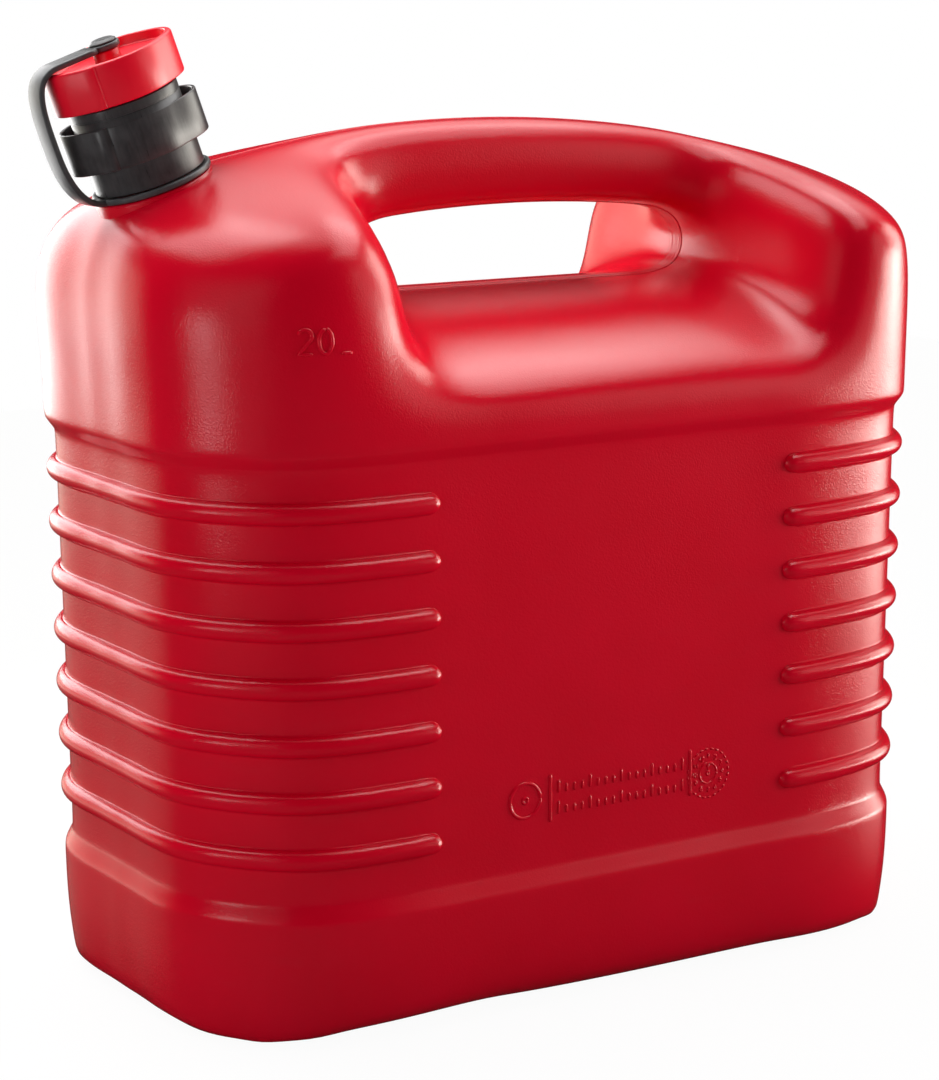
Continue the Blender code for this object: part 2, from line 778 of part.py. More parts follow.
def make_spout(collection, material, neck):
    """Stored upside down: the flange lies on the neck's seal and the tube hangs in the can."""
    bottom = spout_flange_bottom()
    top = bottom + SPOUT_FLANGE_THICKNESS
    tip = bottom - SPOUT_LENGTH
    lip = tip + SPOUT_LIP_LENGTH
    profile = [
        (NECK_RADIUS, top), (NECK_RADIUS, bottom), (SPOUT_ROOT_RADIUS, bottom),
        (SPOUT_TIP_RADIUS, lip), (SPOUT_TIP_RADIUS, tip),
        (SPOUT_TIP_RADIUS - SPOUT_WALL, tip), (SPOUT_TIP_RADIUS - SPOUT_WALL, lip),
        (SPOUT_ROOT_RADIUS - SPOUT_WALL, bottom), (SPOUT_ROOT_RADIUS - SPOUT_WALL, top),
    ]
    spout = add_object("pouring_spout", turned_mesh("pouring_spout", profile), collection, material,
                       neck)
    turn(spout, TURNED_STEPS)


def make_collar_nut(collection, material, neck):
    """A threaded sleeve over the neck, a narrower thread for the cap, and thin hollow wings."""
    flange = nut_flange_bottom()
    bore = NECK_RADIUS + THREAD_GAP
    profile = [
        (NUT_THREAD_RADIUS, NUT_TOP), (NUT_THREAD_RADIUS, NUT_SHOULDER), (NUT_RADIUS, NUT_SHOULDER),
        (NUT_RADIUS, NUT_BOTTOM), (bore, NUT_BOTTOM), (bore, flange),
        (NUT_TUBE_BORE, flange), (NUT_TUBE_BORE, NUT_TOP),
    ]
    nut = add_object("collar_nut", turned_mesh("collar_nut", profile), collection, material, neck)
    turn(nut, TURNED_STEPS)

    outline = lobed_outline(NUT_RADIUS + FACE_GAP, WING_RADIUS, WING_NOSE_ANGLE)
    pocket = lobed_outline(NUT_RADIUS + FACE_GAP, WING_RADIUS, WING_NOSE_ANGLE, WING_WALL)
    wings = add_cutter("wings", prism_mesh("wings", outline, WING_BOTTOM, WING_TOP), neck)
    hollow = prism_mesh("wing_pockets", pocket, WING_BOTTOM - CUT_OVERRUN, WING_TOP + CUT_OVERRUN)
    boolean(wings, add_cutter("wing_pockets", hollow, neck), "DIFFERENCE")
    boolean(nut, wings, "UNION")
    shade(nut)


def make_cap(collection, material, neck):
    outline = lobed_outline(CAP_RADIUS, CAP_LOBE_RADIUS, CAP_NOSE_ANGLE)
    cap = add_object("closing_cap", prism_mesh("closing_cap", outline, cap_bottom(), cap_top()),
                     collection, material, neck)
    edges = cap.modifiers.new("rounded_edges", "BEVEL")
    edges.width = CAP_EDGE
    edges.segments = 1
    edges.limit_method = "ANGLE"
    edges.angle_limit = BEVEL_ANGLE

    ceiling = cap_ceiling_bottom()
    dish = lobed_outline(CAP_RADIUS, CAP_LOBE_RADIUS, CAP_NOSE_ANGLE, CAP_RIM)
    dish_cutter = prism_mesh("cap_dish", dish, ceiling + CAP_CEILING, cap_top() + CUT_OVERRUN)
    boolean(cap, add_cutter("cap_dish", dish_cutter, neck), "DIFFERENCE")
    bore = cylinder_mesh("cap_bore", NUT_THREAD_RADIUS + THREAD_GAP, cap_bottom() - CUT_OVERRUN,
                         ceiling, TURNED_STEPS)
    boolean(cap, add_cutter("cap_bore", bore, neck), "DIFFERENCE")

    boss_top = cap_top() + CAP_BOSS_RISE
    boss = cylinder_mesh("cap_boss", CAP_BOSS_RADIUS, ceiling + CAP_CEILING / 2, boss_top, BORE_STEPS)
    boolean(cap, add_cutter("cap_boss", boss, neck), "UNION")
    hole = cylinder_mesh("rivet_hole", RIVET_SHANK + FACE_GAP, boss_top - RIVET_DEPTH - FACE_GAP,
                         boss_top + CUT_OVERRUN, BORE_STEPS)
    boolean(cap, add_cutter("rivet_hole", hole, neck), "DIFFERENCE")
    shade(cap)


def make_cap_seal(collection, material, neck):
    bottom = cap_seal_bottom()
    mesh = cylinder_mesh("cap_seal", NUT_THREAD_RADIUS, bottom, bottom + SEAL_THICKNESS, TURNED_STEPS)
    shade(add_object("cap_seal", mesh, collection, material, neck))


def bezier(start, start_pull, end_pull, end):
    points = []
    for k in range(1, BEND_POINTS + 1):
        t = k / BEND_POINTS
        u = 1 - t
        point = start * u ** 3 + start_pull * 3 * u ** 2 * t + end_pull * 3 * u * t ** 2 + end * t ** 3
        points.append(point)
    return points


def strap_centre_line():
    """(x, height) along the strap in the neck's frame, from its eye to its ring."""
    eye = strap_eye_bottom() + STRAP_THICKNESS / 2
    ring = SEAT_TOP + FACE_GAP + STRAP_THICKNESS / 2
    start = Vector((-STRAP_STRAIGHT, eye))
    widest = Vector((-STRAP_REACH, STRAP_WIDEST))
    foot = Vector((-(STRAP_RING_INNER + STRAP_RING_OUTER) / 2, ring))
    upper = bezier(start, start - Vector((STRAP_TOP_PULL, 0)),
                   widest + Vector((0, STRAP_UPPER_PULL)), widest)
    lower = bezier(widest, widest - Vector((0, STRAP_LOWER_PULL)),
                   foot - Vector((STRAP_FOOT_PULL, 0)), foot)
    return [Vector((0.0, eye)), start] + upper + lower


def band_outline(path, thickness):
    """Closed outline of a band of even thickness along a path."""
    normals = []
    for i in range(len(path)):
        before = path[max(i - 1, 0)]
        after = path[min(i + 1, len(path) - 1)]
        along = (after - before).normalized()
        normals.append(Vector((-along.y, along.x)) * thickness / 2)
    left = [tuple(point + normal) for point, normal in zip(path, normals)]
    right = [tuple(point - normal) for point, normal in zip(path, normals)]
    return left + right[::-1]


def make_strap(collection, material, neck):
    """A loose ring round the neck, a flat band that loops up, and an eye on top of the cap."""
    ring_bottom = SEAT_TOP + FACE_GAP
    ring_top = ring_bottom + STRAP_THICKNESS
    profile = [(STRAP_RING_OUTER, ring_top), (STRAP_RING_OUTER, ring_bottom),
               (STRAP_RING_INNER, ring_bottom), (STRAP_RING_INNER, ring_top)]
    strap = add_object("cap_strap", turned_mesh("cap_strap", profile), collection, material, neck)
    turn(strap, TURNED_STEPS)

    half = STRAP_WIDTH / 2
    band = add_cutter("strap_band", prism_mesh("strap_band", band_outline(
        strap_centre_line(), STRAP_THICKNESS), -half, half), neck)
    band.rotation_euler = (QUARTER_TURN, 0.0, 0.0)
    boolean(strap, band, "UNION")
    eye_bottom = strap_eye_bottom()
    eye = cylinder_mesh("strap_eye", STRAP_EYE_RADIUS, eye_bottom, eye_bottom + STRAP_THICKNESS,
                        BORE_STEPS)
    boolean(strap, add_cutter("strap_eye", eye, neck), "UNION")
    hole = cylinder_mesh("strap_eye_hole", RIVET_NECK + FACE_GAP, eye_bottom - CUT_OVERRUN,
                         eye_bottom + CUT_OVERRUN, BORE_STEPS)
    boolean(strap, add_cutter("strap_eye_hole", hole, neck), "DIFFERENCE")
    shade(strap)


def make_rivet(collection, material, neck):
    """A headed stud pressed into the cap's boss; the strap's eye turns freely on its neck."""
    foot = cap_top() + CAP_BOSS_RISE
    head = strap_eye_bottom() + STRAP_THICKNESS + FACE_GAP
    top = head + RIVET_HEAD_HEIGHT
    profile = [
        (0.0, top), (RIVET_NECK, top), (RIVET_HEAD_RADIUS, head + RIVET_HEAD_HEIGHT / 3),
        (RIVET_HEAD_RADIUS, head), (RIVET_NECK, head), (RIVET_NECK, foot + FACE_GAP),
        (RIVET_SHANK, foot + FACE_GAP), (RIVET_SHANK, foot - RIVET_DEPTH), (0.0, foot - RIVET_DEPTH),
    ]
    rivet = add_object("strap_rivet", turned_mesh("strap_rivet", profile), collection, material, neck)
    turn(rivet, BORE_STEPS)


def main():
    clear_scene()
    pieces = new_collection(COLLECTION_NAME)
    new_collection("cutters", hidden=True)
    neck = neck_frame()
    make_body(pieces, plastic("red_moulded_plastic", RED, CAN_ROUGHNESS), neck)
    make_neck_seal(pieces, plastic("neck_seal_rubber", SEAL_BLACK, RUBBER_ROUGHNESS), neck)
    make_spout(pieces, plastic("spout_plastic", SPOUT_GREY, SPOUT_ROUGHNESS), neck)
    make_collar_nut(pieces, plastic("grey_nut_plastic", GREY, NUT_ROUGHNESS), neck)
    make_cap_seal(pieces, plastic("cap_seal_rubber", SEAL_BLACK, RUBBER_ROUGHNESS), neck)
    make_cap(pieces, plastic("red_cap_plastic", CAP_RED, CAP_ROUGHNESS), neck)
    make_strap(pieces, plastic("grey_strap_plastic", GREY, STRAP_ROUGHNESS), neck)
    make_rivet(pieces, plastic("rivet_plastic", GREY, NUT_ROUGHNESS), neck)
    bpy.context.view_layer.update()


main()
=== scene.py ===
"""Looks of a 20 litre plastic fuel jerrycan.

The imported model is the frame. The can's shell, ribs, seams and raised marks, the collar, the cap,
its strap and the strap's stud are modelled finely here, in metres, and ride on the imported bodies.
"""
import math

import bmesh
import bpy
from mathutils import Matrix, Vector
from mathutils.bvhtree import BVHTree


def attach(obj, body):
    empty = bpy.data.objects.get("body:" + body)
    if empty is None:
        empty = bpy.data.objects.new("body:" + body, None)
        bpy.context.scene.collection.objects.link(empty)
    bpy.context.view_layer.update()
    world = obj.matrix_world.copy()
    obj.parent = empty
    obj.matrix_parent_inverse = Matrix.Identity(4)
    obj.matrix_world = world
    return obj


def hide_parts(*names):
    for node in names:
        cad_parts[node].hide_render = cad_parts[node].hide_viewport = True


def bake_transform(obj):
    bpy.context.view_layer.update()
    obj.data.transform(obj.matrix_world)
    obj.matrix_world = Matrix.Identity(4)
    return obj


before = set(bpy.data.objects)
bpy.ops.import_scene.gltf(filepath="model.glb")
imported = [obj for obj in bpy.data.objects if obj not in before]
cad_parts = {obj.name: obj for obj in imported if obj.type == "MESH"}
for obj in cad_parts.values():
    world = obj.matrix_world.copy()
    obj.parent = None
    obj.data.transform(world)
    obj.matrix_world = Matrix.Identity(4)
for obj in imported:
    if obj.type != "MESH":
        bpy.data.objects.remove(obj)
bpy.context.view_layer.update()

# Plan of the can's recessed wall, and how far the other zones stand proud of it
WALL_HALF_LENGTH = 0.1807
WALL_HALF_WIDTH = 0.1034
WALL_CORNER_RADIUS = 0.0694
END_DRAFT_SHARE = 0.0156
SKIRT_STEP = 0.0037
BAND_STEP = 0.0043

# Heights of the zones
BASE_FILLET_HEIGHT = 0.024
BASE_FILLET_INSET = 0.003
BASE_HEEL_RISE = 0.0045
SKIRT_TOP = 0.0533
WALL_BOTTOM = 0.0595
WALL_TOP = 0.2370
BAND_BOTTOM = 0.2422
PIER_MIDDLE = 0.2720
SHOULDER_BOTTOM = 0.3045
EDGE_SUPPORT = 0.0022

# Crown of the top, seen from the side and from the end
ARCH_TOP = 0.3668
ARCH_CENTRE = -0.005
ARCH_RADIUS = 0.568
CROWN_RADIUS = 0.200
NECK_END_DROP = 0.0272
FAR_END_DROP = 0.0323
SHOULDER_INSET = 0.0045
NECK_END_BULGE = 0.0030
FRONT_EDGE_RISE = 0.0060

# Handle and the recess under it
HANDLE_HALF_WIDTH = 0.0184
HANDLE_DEPTH = 0.0372
UNDERSIDE_CENTRE = 0.013
FLOOR_RIDGE = 0.2935
FLOOR_SLOPE_DROP = 0.0065
FLOOR_FRONT_EDGE = 0.2680
FLOOR_CORNER_DROP = 0.0040
HOLE_LEFT = -0.0760
HOLE_LEFT_DRAFT = 0.0180
HOLE_LEFT_MIDDLE_LEAN = 0.0010
HOLE_LEFT_TOP_LEAN = 0.0240
HOLE_RIGHT = 0.1050
HOLE_RIGHT_DRAFT = 0.0060
HOLE_RIGHT_MIDDLE_LEAN = 0.0055
HOLE_RIGHT_TOP_LEAN = 0.0140
RECESS_ROW = -0.0600

# Cage of the shell; heel and crease shares follow the half plan from neck end to far end
NECK_CORNER_ANGLES = (math.radians(15), math.radians(45), math.radians(75))
FAR_CORNER_ANGLES = (math.radians(10), math.radians(36), math.radians(62))
MIDDLE_COLUMN_SHARES = (0.19, 0.50, 0.81)
COLUMN_COUNT = 8
ROW_COUNT = 3
FIRST_HOLE_COLUMN = 2
LAST_HOLE_COLUMN = 6
HEEL_RISE_SHARES = (0, 0, 0, 0, 0.75, 1, 0.4, 0, 0, 0, 0, 0, 0, 0, 0)
BASE_CREASE_SHARES = (0.34, 0.34, 0.42, 0.42, 0.30, 0.20, 0.20, 0.20, 0.20, 0.30, 0.42, 0.42,
                      0.34, 0.34)
STEP_CREASE_SHARE = 0.1
SPLINE_ROUNDS = 24
SHELL_LEVELS = 3
MIRROR_MERGE = 1e-5
WELD_DISTANCE = 1e-6

# Fineness of fillets and turned bodies
FILLET_POINTS = 5
TURNED_STEPS = 128

# End ribs
RIB_COUNT = 7
RIB_PITCH = 0.0235
TOP_RIB_HEIGHT = 0.2199
RIB_PROUD = 0.0043
RIB_TIP = 0.0914
RIB_CREST_RADIUS = 0.0044
RIB_FOOT_RADIUS = 0.0008
RIB_ROOT = 0.0012
RIB_FOOT_POINTS = 4
RIB_CREST_POINTS = 8
RIB_PLAN_PIECES = 10
RIB_START = RIB_TIP - RIB_CREST_RADIUS
RIB_TIP_PLACES = (0.0, 0.0002, 0.0006, 0.0012, 0.0020, 0.0029, 0.0038,
                  RIB_CREST_RADIUS + RIB_FOOT_RADIUS)
RIB_TIP_GAP = 0.001
RIB_LEAST_SIZE = 0.02

# Grooves across the underside
NECK_END_GROOVE_X = -0.122
FAR_END_GROOVE_X = 0.083
GROOVE_RADIUS = 0.022
GROOVE_DEPTH = 0.0024

# Parting seams
SEAM_HALF_WIDTH = 0.0009
SEAM_HEIGHT = 0.00022
SEAM_MIDDLE = 0.18
SEAM_START = math.radians(28)
SEAM_END = math.radians(131)
SEAM_POINTS = 160
PINCH_HALF_WIDTH = 0.0046
PINCH_HEIGHT = 0.0005
PINCH_POINTS = 260
PINCH_SHARES = (0.1, 0.5, 0.2, 0.9, 0.3, 0.4, 0.15, 1.0, 0.35, 0.7, 0.2, 0.3, 0.6, 0.8, 0.2, 0.5,
                0.1)
HOLE_ROOF_RISE = 0.019

# Filler neck: its axis leaves the shoulder at the foot's place and leans to the -X end; the
# heights of all the pieces on it are measured along this axis
NECK_FOOT_X = -0.1606
NECK_FOOT_Z = 0.3463
NECK_TILT = math.radians(20)
NECK_RADIUS = 0.0207
NECK_BORE = 0.0180
NECK_TOP = 0.0160
NECK_ROOT = 0.0300
NECK_FLOOR = -0.020
NECK_CORE = NECK_RADIUS - 0.0009
NECK_FOOT_FILLET = 0.0006
NECK_LIP_FILLET = 0.0007
NECK_BORE_FILLET = 0.0005
SEAT_FILLET = 0.0012
SEAT_RADIUS = 0.0250
SEAT_TOP = -0.0031

# Threads: the neck's, and the one on the collar that the cap screws down on
NECK_THREAD_PITCH = 0.006
NECK_THREAD_BOTTOM = 0.0020
NECK_THREAD_TOP = 0.0140
NECK_THREAD_DEPTH = 0.0010
NECK_THREAD_HALF_WIDTH = 0.0016
CAP_THREAD_PITCH = 0.005
CAP_THREAD_DEPTH = 0.0011
CAP_THREAD_HALF_WIDTH = 0.0009
CAP_THREAD_CORE = 0.0013
CAP_THREAD_FOOT = 0.0012
CAP_THREAD_HEAD = 0.0010
HELIX_STEPS = 48
THREAD_FADE = 0.12
THREAD_LEAST_SIZE = 0.05
THREAD_CREST_SHARE = 0.35

# Room between pieces
FACE_GAP = 0.0003
THREAD_GAP = 0.0005

# Collar nut
NUT_RADIUS = 0.0231
NUT_BORE = 0.0212
NUT_FLANGE_BOTTOM = 0.0207
NUT_TUBE_BORE = 0.0168
NUT_SHOULDER = 0.0354
NUT_THREAD_RADIUS = 0.0214
NUT_TOP = 0.0450
NUT_CORE = NUT_THREAD_RADIUS - 0.0012
NUT_FOOT_FILLET = 0.0004
NUT_EDGE_FILLET = 0.0005
NUT_INNER_FILLET = 0.0003
NUT_BORE_FOOT = 0.00035
NUT_SLEEVE_RISE = 0.001
NUT_GROOVE_RADIUS = NUT_RADIUS - 0.0004
NUT_GROOVE_RISES = (0.0022, 0.0024, 0.0029, 0.0031)
NUT_GROOVE_FILLET = 0.0001
WING_BOTTOM = 0.0109
WING_TOP = 0.0285
WING_RADIUS = 0.0295
WING_WALL = 0.0017
WING_EDGE = 0.0005
WING_EDGE_SHARE = 0.3
WING_NOSE_ANGLE = math.radians(221)

# Closing cap
CAP_RADIUS = 0.0241
CAP_LOBE_RADIUS = 0.0284
CAP_BOTTOM = 0.0360
CAP_HEIGHT = 0.0176
CAP_INSIDE_TOP = 0.0474
CAP_CEILING = 0.0022
CAP_RIM = 0.0026
CAP_BOSS_RADIUS = 0.0055
CAP_BOSS_RISE = 0.0008
CAP_NOSE_ANGLE = math.radians(231)
CAP_CENTRE_RADIUS = 0.0004

# Rounded edges of the cap, in order along its outline, as steps across and up from the corner
CAP_BORE_EDGE = ((-0.0010, 0.0), (0.0, -0.0010))
CAP_BORE_LEAD = ((0.0, 0.0008), (0.0005, 0.0))
CAP_FOOT_EDGE = ((0.0006, 0.0), (0.0002, 0.0002), (0.0, 0.0007))
CAP_OUTER_EDGE = ((0.0, -0.0013), (0.0001, -0.0009), (0.00035, -0.0004), (0.0008, -0.0001),
                  (0.0013, 0.0))
CAP_RIM_EDGE = ((-0.0004, 0.0), (-0.0001, -0.0001), (0.0, -0.0005))
CAP_DISH_FILLET = ((0.0003, 0.0008), (0.0007, 0.0002), (0.0014, 0.0))
CAP_BOSS_FILLET = ((0.0010, 0.0), (0.0002, 0.0004), (0.0, 0.0010))
CAP_BOSS_EDGE = ((0.0, -0.0004), (-0.0004, 0.0))

# Lobes of the cap and of the collar's wings, as shares of the way from one nose to the next
LOBE_COUNT = 2
LOBE_START_SHARE = 0.40
LOBE_PEAK_SHARE = 0.70
LOBE_NOSE_SHARE = 0.93
NOSE_RISE_SHARE = 0.32
NOSE_SHARES = (0.94, 0.95, 0.96, 0.97, 0.98, 0.987, 0.993, 0.997, 0.9995)
LOBE_POINTS = 84

# Strap and its rivet
STRAP_WIDTH = 0.0120
STRAP_THICKNESS = 0.0024
STRAP_EDGE = 0.0008
STRAP_RING_INNER = 0.0213
STRAP_RING_OUTER = 0.0252
STRAP_REACH = 0.0364
STRAP_WIDEST = 0.0240
STRAP_STRAIGHT = 0.0235
STRAP_TOP_PULL = 0.0128
STRAP_UPPER_PULL = 0.0185
STRAP_LOWER_PULL = 0.0180
STRAP_FOOT_PULL = 0.0068
STRAP_EYE_RADIUS = 0.0066
STRAP_EYE_FILLET = 0.0007
STRAP_HOLE_FILLET = 0.0003
STRAP_RING_FILLET = 0.0006
STRAP_EDGE_POINTS = 4
STRAP_LEVEL_POINTS = 8
STRAP_UPPER_POINTS = 36
STRAP_LOWER_POINTS = 28
RIVET_SHANK = 0.0022
RIVET_NECK = 0.0030
RIVET_HEAD_RADIUS = 0.0056
RIVET_HEAD_HEIGHT = 0.0013
RIVET_DEPTH = 0.0035
RIVET_DOME_RADIUS = RIVET_NECK + 0.0012
RIVET_DOME_FILLET = 0.0016
RIVET_HEAD_EDGE = 0.0005
RIVET_HEAD_FILLET = 0.0003
RIVET_UNDER_FILLET = 0.0002
RIVET_TIP_FILLET = 0.0003

# Raised marks on the front, as (x, height) places
MARK_BEAD = 0.00082
SMALL_BEAD_SHARE = 0.8
DIAL_BEAD_SHARE = 0.6
MARK_SPACING = 0.0007
DIAL_SPACING = 0.0004
MARK_RAY_Y = -0.3
MARK_END_SHARE = 0.55
MARK_ROUNDNESS = 2
NUMBER_PLACE = (-0.1495, 0.2835)
NUMBER_HEIGHT = 0.0096
DIGIT_PITCH = 0.80
DIGIT_MIDDLE = 0.3
LEVEL_TICK_PLACE = 1.75
LEVEL_TICK_LENGTH = 0.0045
RING_PLACE = (-0.0460, 0.0900)
RING_RADIUS = 0.0075
RING_DOT_SHARE = 0.18
PLATE_LEFT = -0.0335
PLATE_RIGHT = 0.0388
PLATE_BOTTOM = 0.0790
PLATE_TOP = 0.0995
PLATE_ROW_COUNT = 2
PLATE_ROW_MARGIN = 0.0028
PLATE_ROW_PITCH = 0.0092
PLATE_TICK_COUNT = 17
PLATE_TICK_MARGIN = 0.0042
PLATE_TICK_PITCH = 0.0040
PLATE_LONG_EVERY = 4
PLATE_LONG_TICK = 0.0056
PLATE_SHORT_TICK = 0.0036
DIAL_PLACE = (0.0485, 0.0877)
DIAL_RADIUS = 0.0108
DIAL_HUB_SHARE = 0.42
DIAL_PIN_SHARE = 0.08
DIAL_MONTHS_SHARE = 0.70
POINTER_SHARES = (0.10, 0.24, 0.38)
POINTER_HALF_WIDTH = 0.0008
MONTH_HEIGHT = 0.0019
DIAL_TEETH = 24
TOOTH_SHARE = 0.6

# Colours of the plastics, each as its darker and its lighter shade
CAN_REDS = ((0.65, 0.0001, 0.0140, 1), (0.72, 0.0002, 0.0200, 1))
SCUFF_RED = (0.75, 0.030, 0.050, 1)
CAP_REDS = ((0.80, 0.0010, 0.018, 1), (0.88, 0.0016, 0.024, 1))
NUT_GREYS = ((0.034, 0.031, 0.033, 1), (0.064, 0.060, 0.062, 1))
STRAP_GREYS = ((0.048, 0.048, 0.051, 1), (0.080, 0.080, 0.084, 1))
SPOUT_GREYS = ((0.070, 0.067, 0.067, 1), (0.110, 0.105, 0.103, 1))
RUBBER_BLACKS = ((0.012, 0.012, 0.012, 1), (0.035, 0.034, 0.033, 1))

# Studio floor
FLOOR_HALF_SIZE = 1.6
FLOOR_GAP = 0.0002
FLOOR_GREY = (0.40, 0.40, 0.40, 1)
FLOOR_ROUGHNESS = 0.9
FLOOR_GLOW = 1.06
FLOOR_GLOW_SHARE = 0.90

# Far windows and ceiling that the plastic reflects. A window is (azimuth, half width, soft edge,
# lowest, full, highest, level, colour), with azimuths in degrees from +X, heights as shares of
# straight up, and levels as shares of white. The ceiling is a spot round the way it is aimed.
WINDOWS = (
    (108, 24, 8, -0.24, -0.16, 0.18, 1.2, (1.0, 0.95, 0.78)),
    (108, 24, 8, -0.45, -0.30, 0.00, 0.25, (1.0, 0.95, 0.78)),
    (-4, 12, 7, -0.32, -0.12, 0.42, 5.5, (1.0, 0.97, 0.88)),
    (-18, 12, 8, -0.20, -0.13, -0.06, 12.0, (1.0, 0.97, 0.88)),
    (-40, 12, 8, -0.10, 0.00, 0.40, 0.6, (1.0, 0.98, 0.90)),
)
WINDOW_TOP_FADE = 0.12
CEILING_AIM = (0.32, 0.32, 0.89)
CEILING_EDGE = (0.72, 0.97)
CEILING_LEVEL = 2.3
CEILING_COLOUR = (1.0, 1.0, 0.97)
DIM_LEVEL = 0.02

# Lamps near the can, as (name, place, aim, width, height, level, shows in the plastic, lights it)
LAMPS = (
    ("key_light", (0.7, -1.5, 1.2), (0.05, 0, 0.18), 1.4, 1.4, 0.1, False, True),
    ("right_fill", (0.85, -0.75, 0.45), (0.1, -0.1, 0.2), 0.6, 0.6, 3.6, False, True),
    ("left_fill", (-1.25, -0.45, 0.5), (-0.1, 0.0, 0.2), 0.8, 0.8, 2.3, False, True),
    ("overhead_right", (0.22, -0.15, 0.764), (0.22, -0.15, 0.0), 0.36, 0.60, 3.4, True, False),
    ("overhead_fill", (0.22, -0.15, 0.764), (0.22, -0.15, 0.0), 0.36, 0.60, 2.4, False, True),
    ("overhead_left", (-0.33, 0.24, 0.764), (-0.33, 0.24, 0.0), 0.46, 0.52, 3.8, True, True),
    ("corner_card", (-0.66, -0.13, 0.22), (-0.175, -0.078, 0.279), 0.10, 0.14, 4.5, True, True),
)

# Cards behind the neck end, as (x, y, width); they overlap, so their light falls off in steps
END_CARDS = ((-0.188, 0.441, 0.26), (-0.206, 0.433, 0.30), (-0.224, 0.424, 0.34))
END_CARD_Z = 0.385
END_CARD_AIM_Z = 0.335
END_CARD_AIM_STEP = (0.147, -0.317)
END_CARD_HEIGHT = 0.43
END_CARD_LEVEL = 1.5

# Photograph
PHOTO_WIDTH = 939
PHOTO_HEIGHT = 1080
CAMERA_PLACE = (-0.6958, -1.0979, 0.4305)
CAMERA_YAW = math.radians(33.057)
CAMERA_PITCH = math.radians(11.35)
CAMERA_FOCUS_PX = 2965.14
CAMERA_CENTRE_PX = (520.0, 560.0)
CAMERA_CLIP_START = 0.05
SENSOR_WIDTH = 36.0

NECK = Matrix.Translation((NECK_FOOT_X, 0.0, NECK_FOOT_Z)) @ Matrix.Rotation(-NECK_TILT, 4, "Y")


# Node helpers

def fill(tree, node, inputs):
    """Give a node's inputs, by name or number, their values or links."""
    for key, value in inputs.items():
        value = getattr(value, "socket", value)
        if isinstance(value, bpy.types.NodeSocket):
            tree.links.new(value, node.inputs[key])
        else:
            node.inputs[key].default_value = value


def spaced(inputs):
    """Inputs under their own names, which have spaces where Python has underscores."""
    return {key.replace("_", " "): value for key, value in inputs.items()}


def add_node(tree, kind, settings=None, inputs=None):
    """A new node with its settings and inputs."""
    node = tree.nodes.new(kind)
    for key, setting in (settings or {}).items():
        setattr(node, key, setting)
    fill(tree, node, inputs or {})
    return node


class Value:
    """A socket inside a finish, ready for use in a sum."""

    def __init__(self, finish, socket):
        self.finish = finish
        self.socket = socket

    def maths(self, operation, first, second):
        return self.finish.node("ShaderNodeMath", {"operation": operation}, {0: first, 1: second})

    def __add__(self, other):
        return self.maths("ADD", self, other)

    def __radd__(self, other):
        return self.maths("ADD", other, self)

    def __sub__(self, other):
        return self.maths("SUBTRACT", self, other)

    def __rsub__(self, other):
        return self.maths("SUBTRACT", other, self)

    def __mul__(self, other):
        return self.maths("MULTIPLY", self, other)

    def __rmul__(self, other):
        return self.maths("MULTIPLY", other, self)


class Finish:
    """A material with a Principled shader, built up from sums and nodes."""

    def __init__(self, name):
        self.material = bpy.data.materials.new(name)
        self.material.use_nodes = True
        self.tree = self.material.node_tree
        self.shader = self.tree.nodes["Principled BSDF"]
        self.place = self.node("ShaderNodeTexCoord", output="Object")

    def node(self, kind, settings=None, inputs=None, output=0):
        return Value(self, add_node(self.tree, kind, settings, inputs).outputs[output])

    def set(self, **inputs):
        fill(self.tree, self.shader, spaced(inputs))

    def noise(self, scale, detail=2.0, roughness=0.5, place=None):
        inputs = {"Vector": place or self.place, "Scale": scale, "Detail": detail,
                  "Roughness": roughness}
        return self.node("ShaderNodeTexNoise", {}, inputs, "Fac")

    def stretched(self, amounts, turn=(0.0, 0.0, 0.0)):
        inputs = {"Vector": self.place, "Scale": amounts, "Rotation": turn}
        return self.node("ShaderNodeMapping", {"vector_type": "TEXTURE"}, inputs)

    def between(self, value, low, high):
        """0 where value is at or under low, 1 where it is at or over high."""
        inputs = {"Value": value, "From Min": low, "From Max": high}
        return self.node("ShaderNodeMapRange", {"clamp": True}, inputs)

    def colours(self, share, first, second):
        inputs = {0: share, 6: first, 7: second}
        return self.node("ShaderNodeMix", {"data_type": "RGBA"}, inputs, 2)

    def bump(self, height, distance, strength, under=None):
        inputs = {"Height": height, "Distance": distance, "Strength": strength}
        if under:
            inputs["Normal"] = under
        return self.node("ShaderNodeBump", {}, inputs)


def moulded_red():
    """Blow-moulded polyethylene: pebbled grain, slightly uneven wall, faint handling marks."""
    finish = Finish("moulded_red")
    uneven = finish.noise(26.0, detail=1.0)
    pebbles = finish.noise(1300.0)
    smears = finish.noise(60.0, detail=4.0, roughness=0.7,
                          place=finish.stretched((6.0, 6.0, 0.6)))
    scuffs = finish.between(smears, low=0.60, high=0.74)
    depth = finish.bump(uneven, distance=0.0009, strength=0.30)
    depth = finish.bump(pebbles, distance=0.00012, strength=0.8, under=depth)
    colour = finish.colours(uneven, *CAN_REDS)
    colour = finish.colours(scuffs * 0.04, colour, SCUFF_RED)
    finish.set(Base_Color=colour, Roughness=0.16 + pebbles * 0.06 + scuffs * 0.04, Normal=depth,
               Specular_IOR_Level=0.42)
    return finish.material


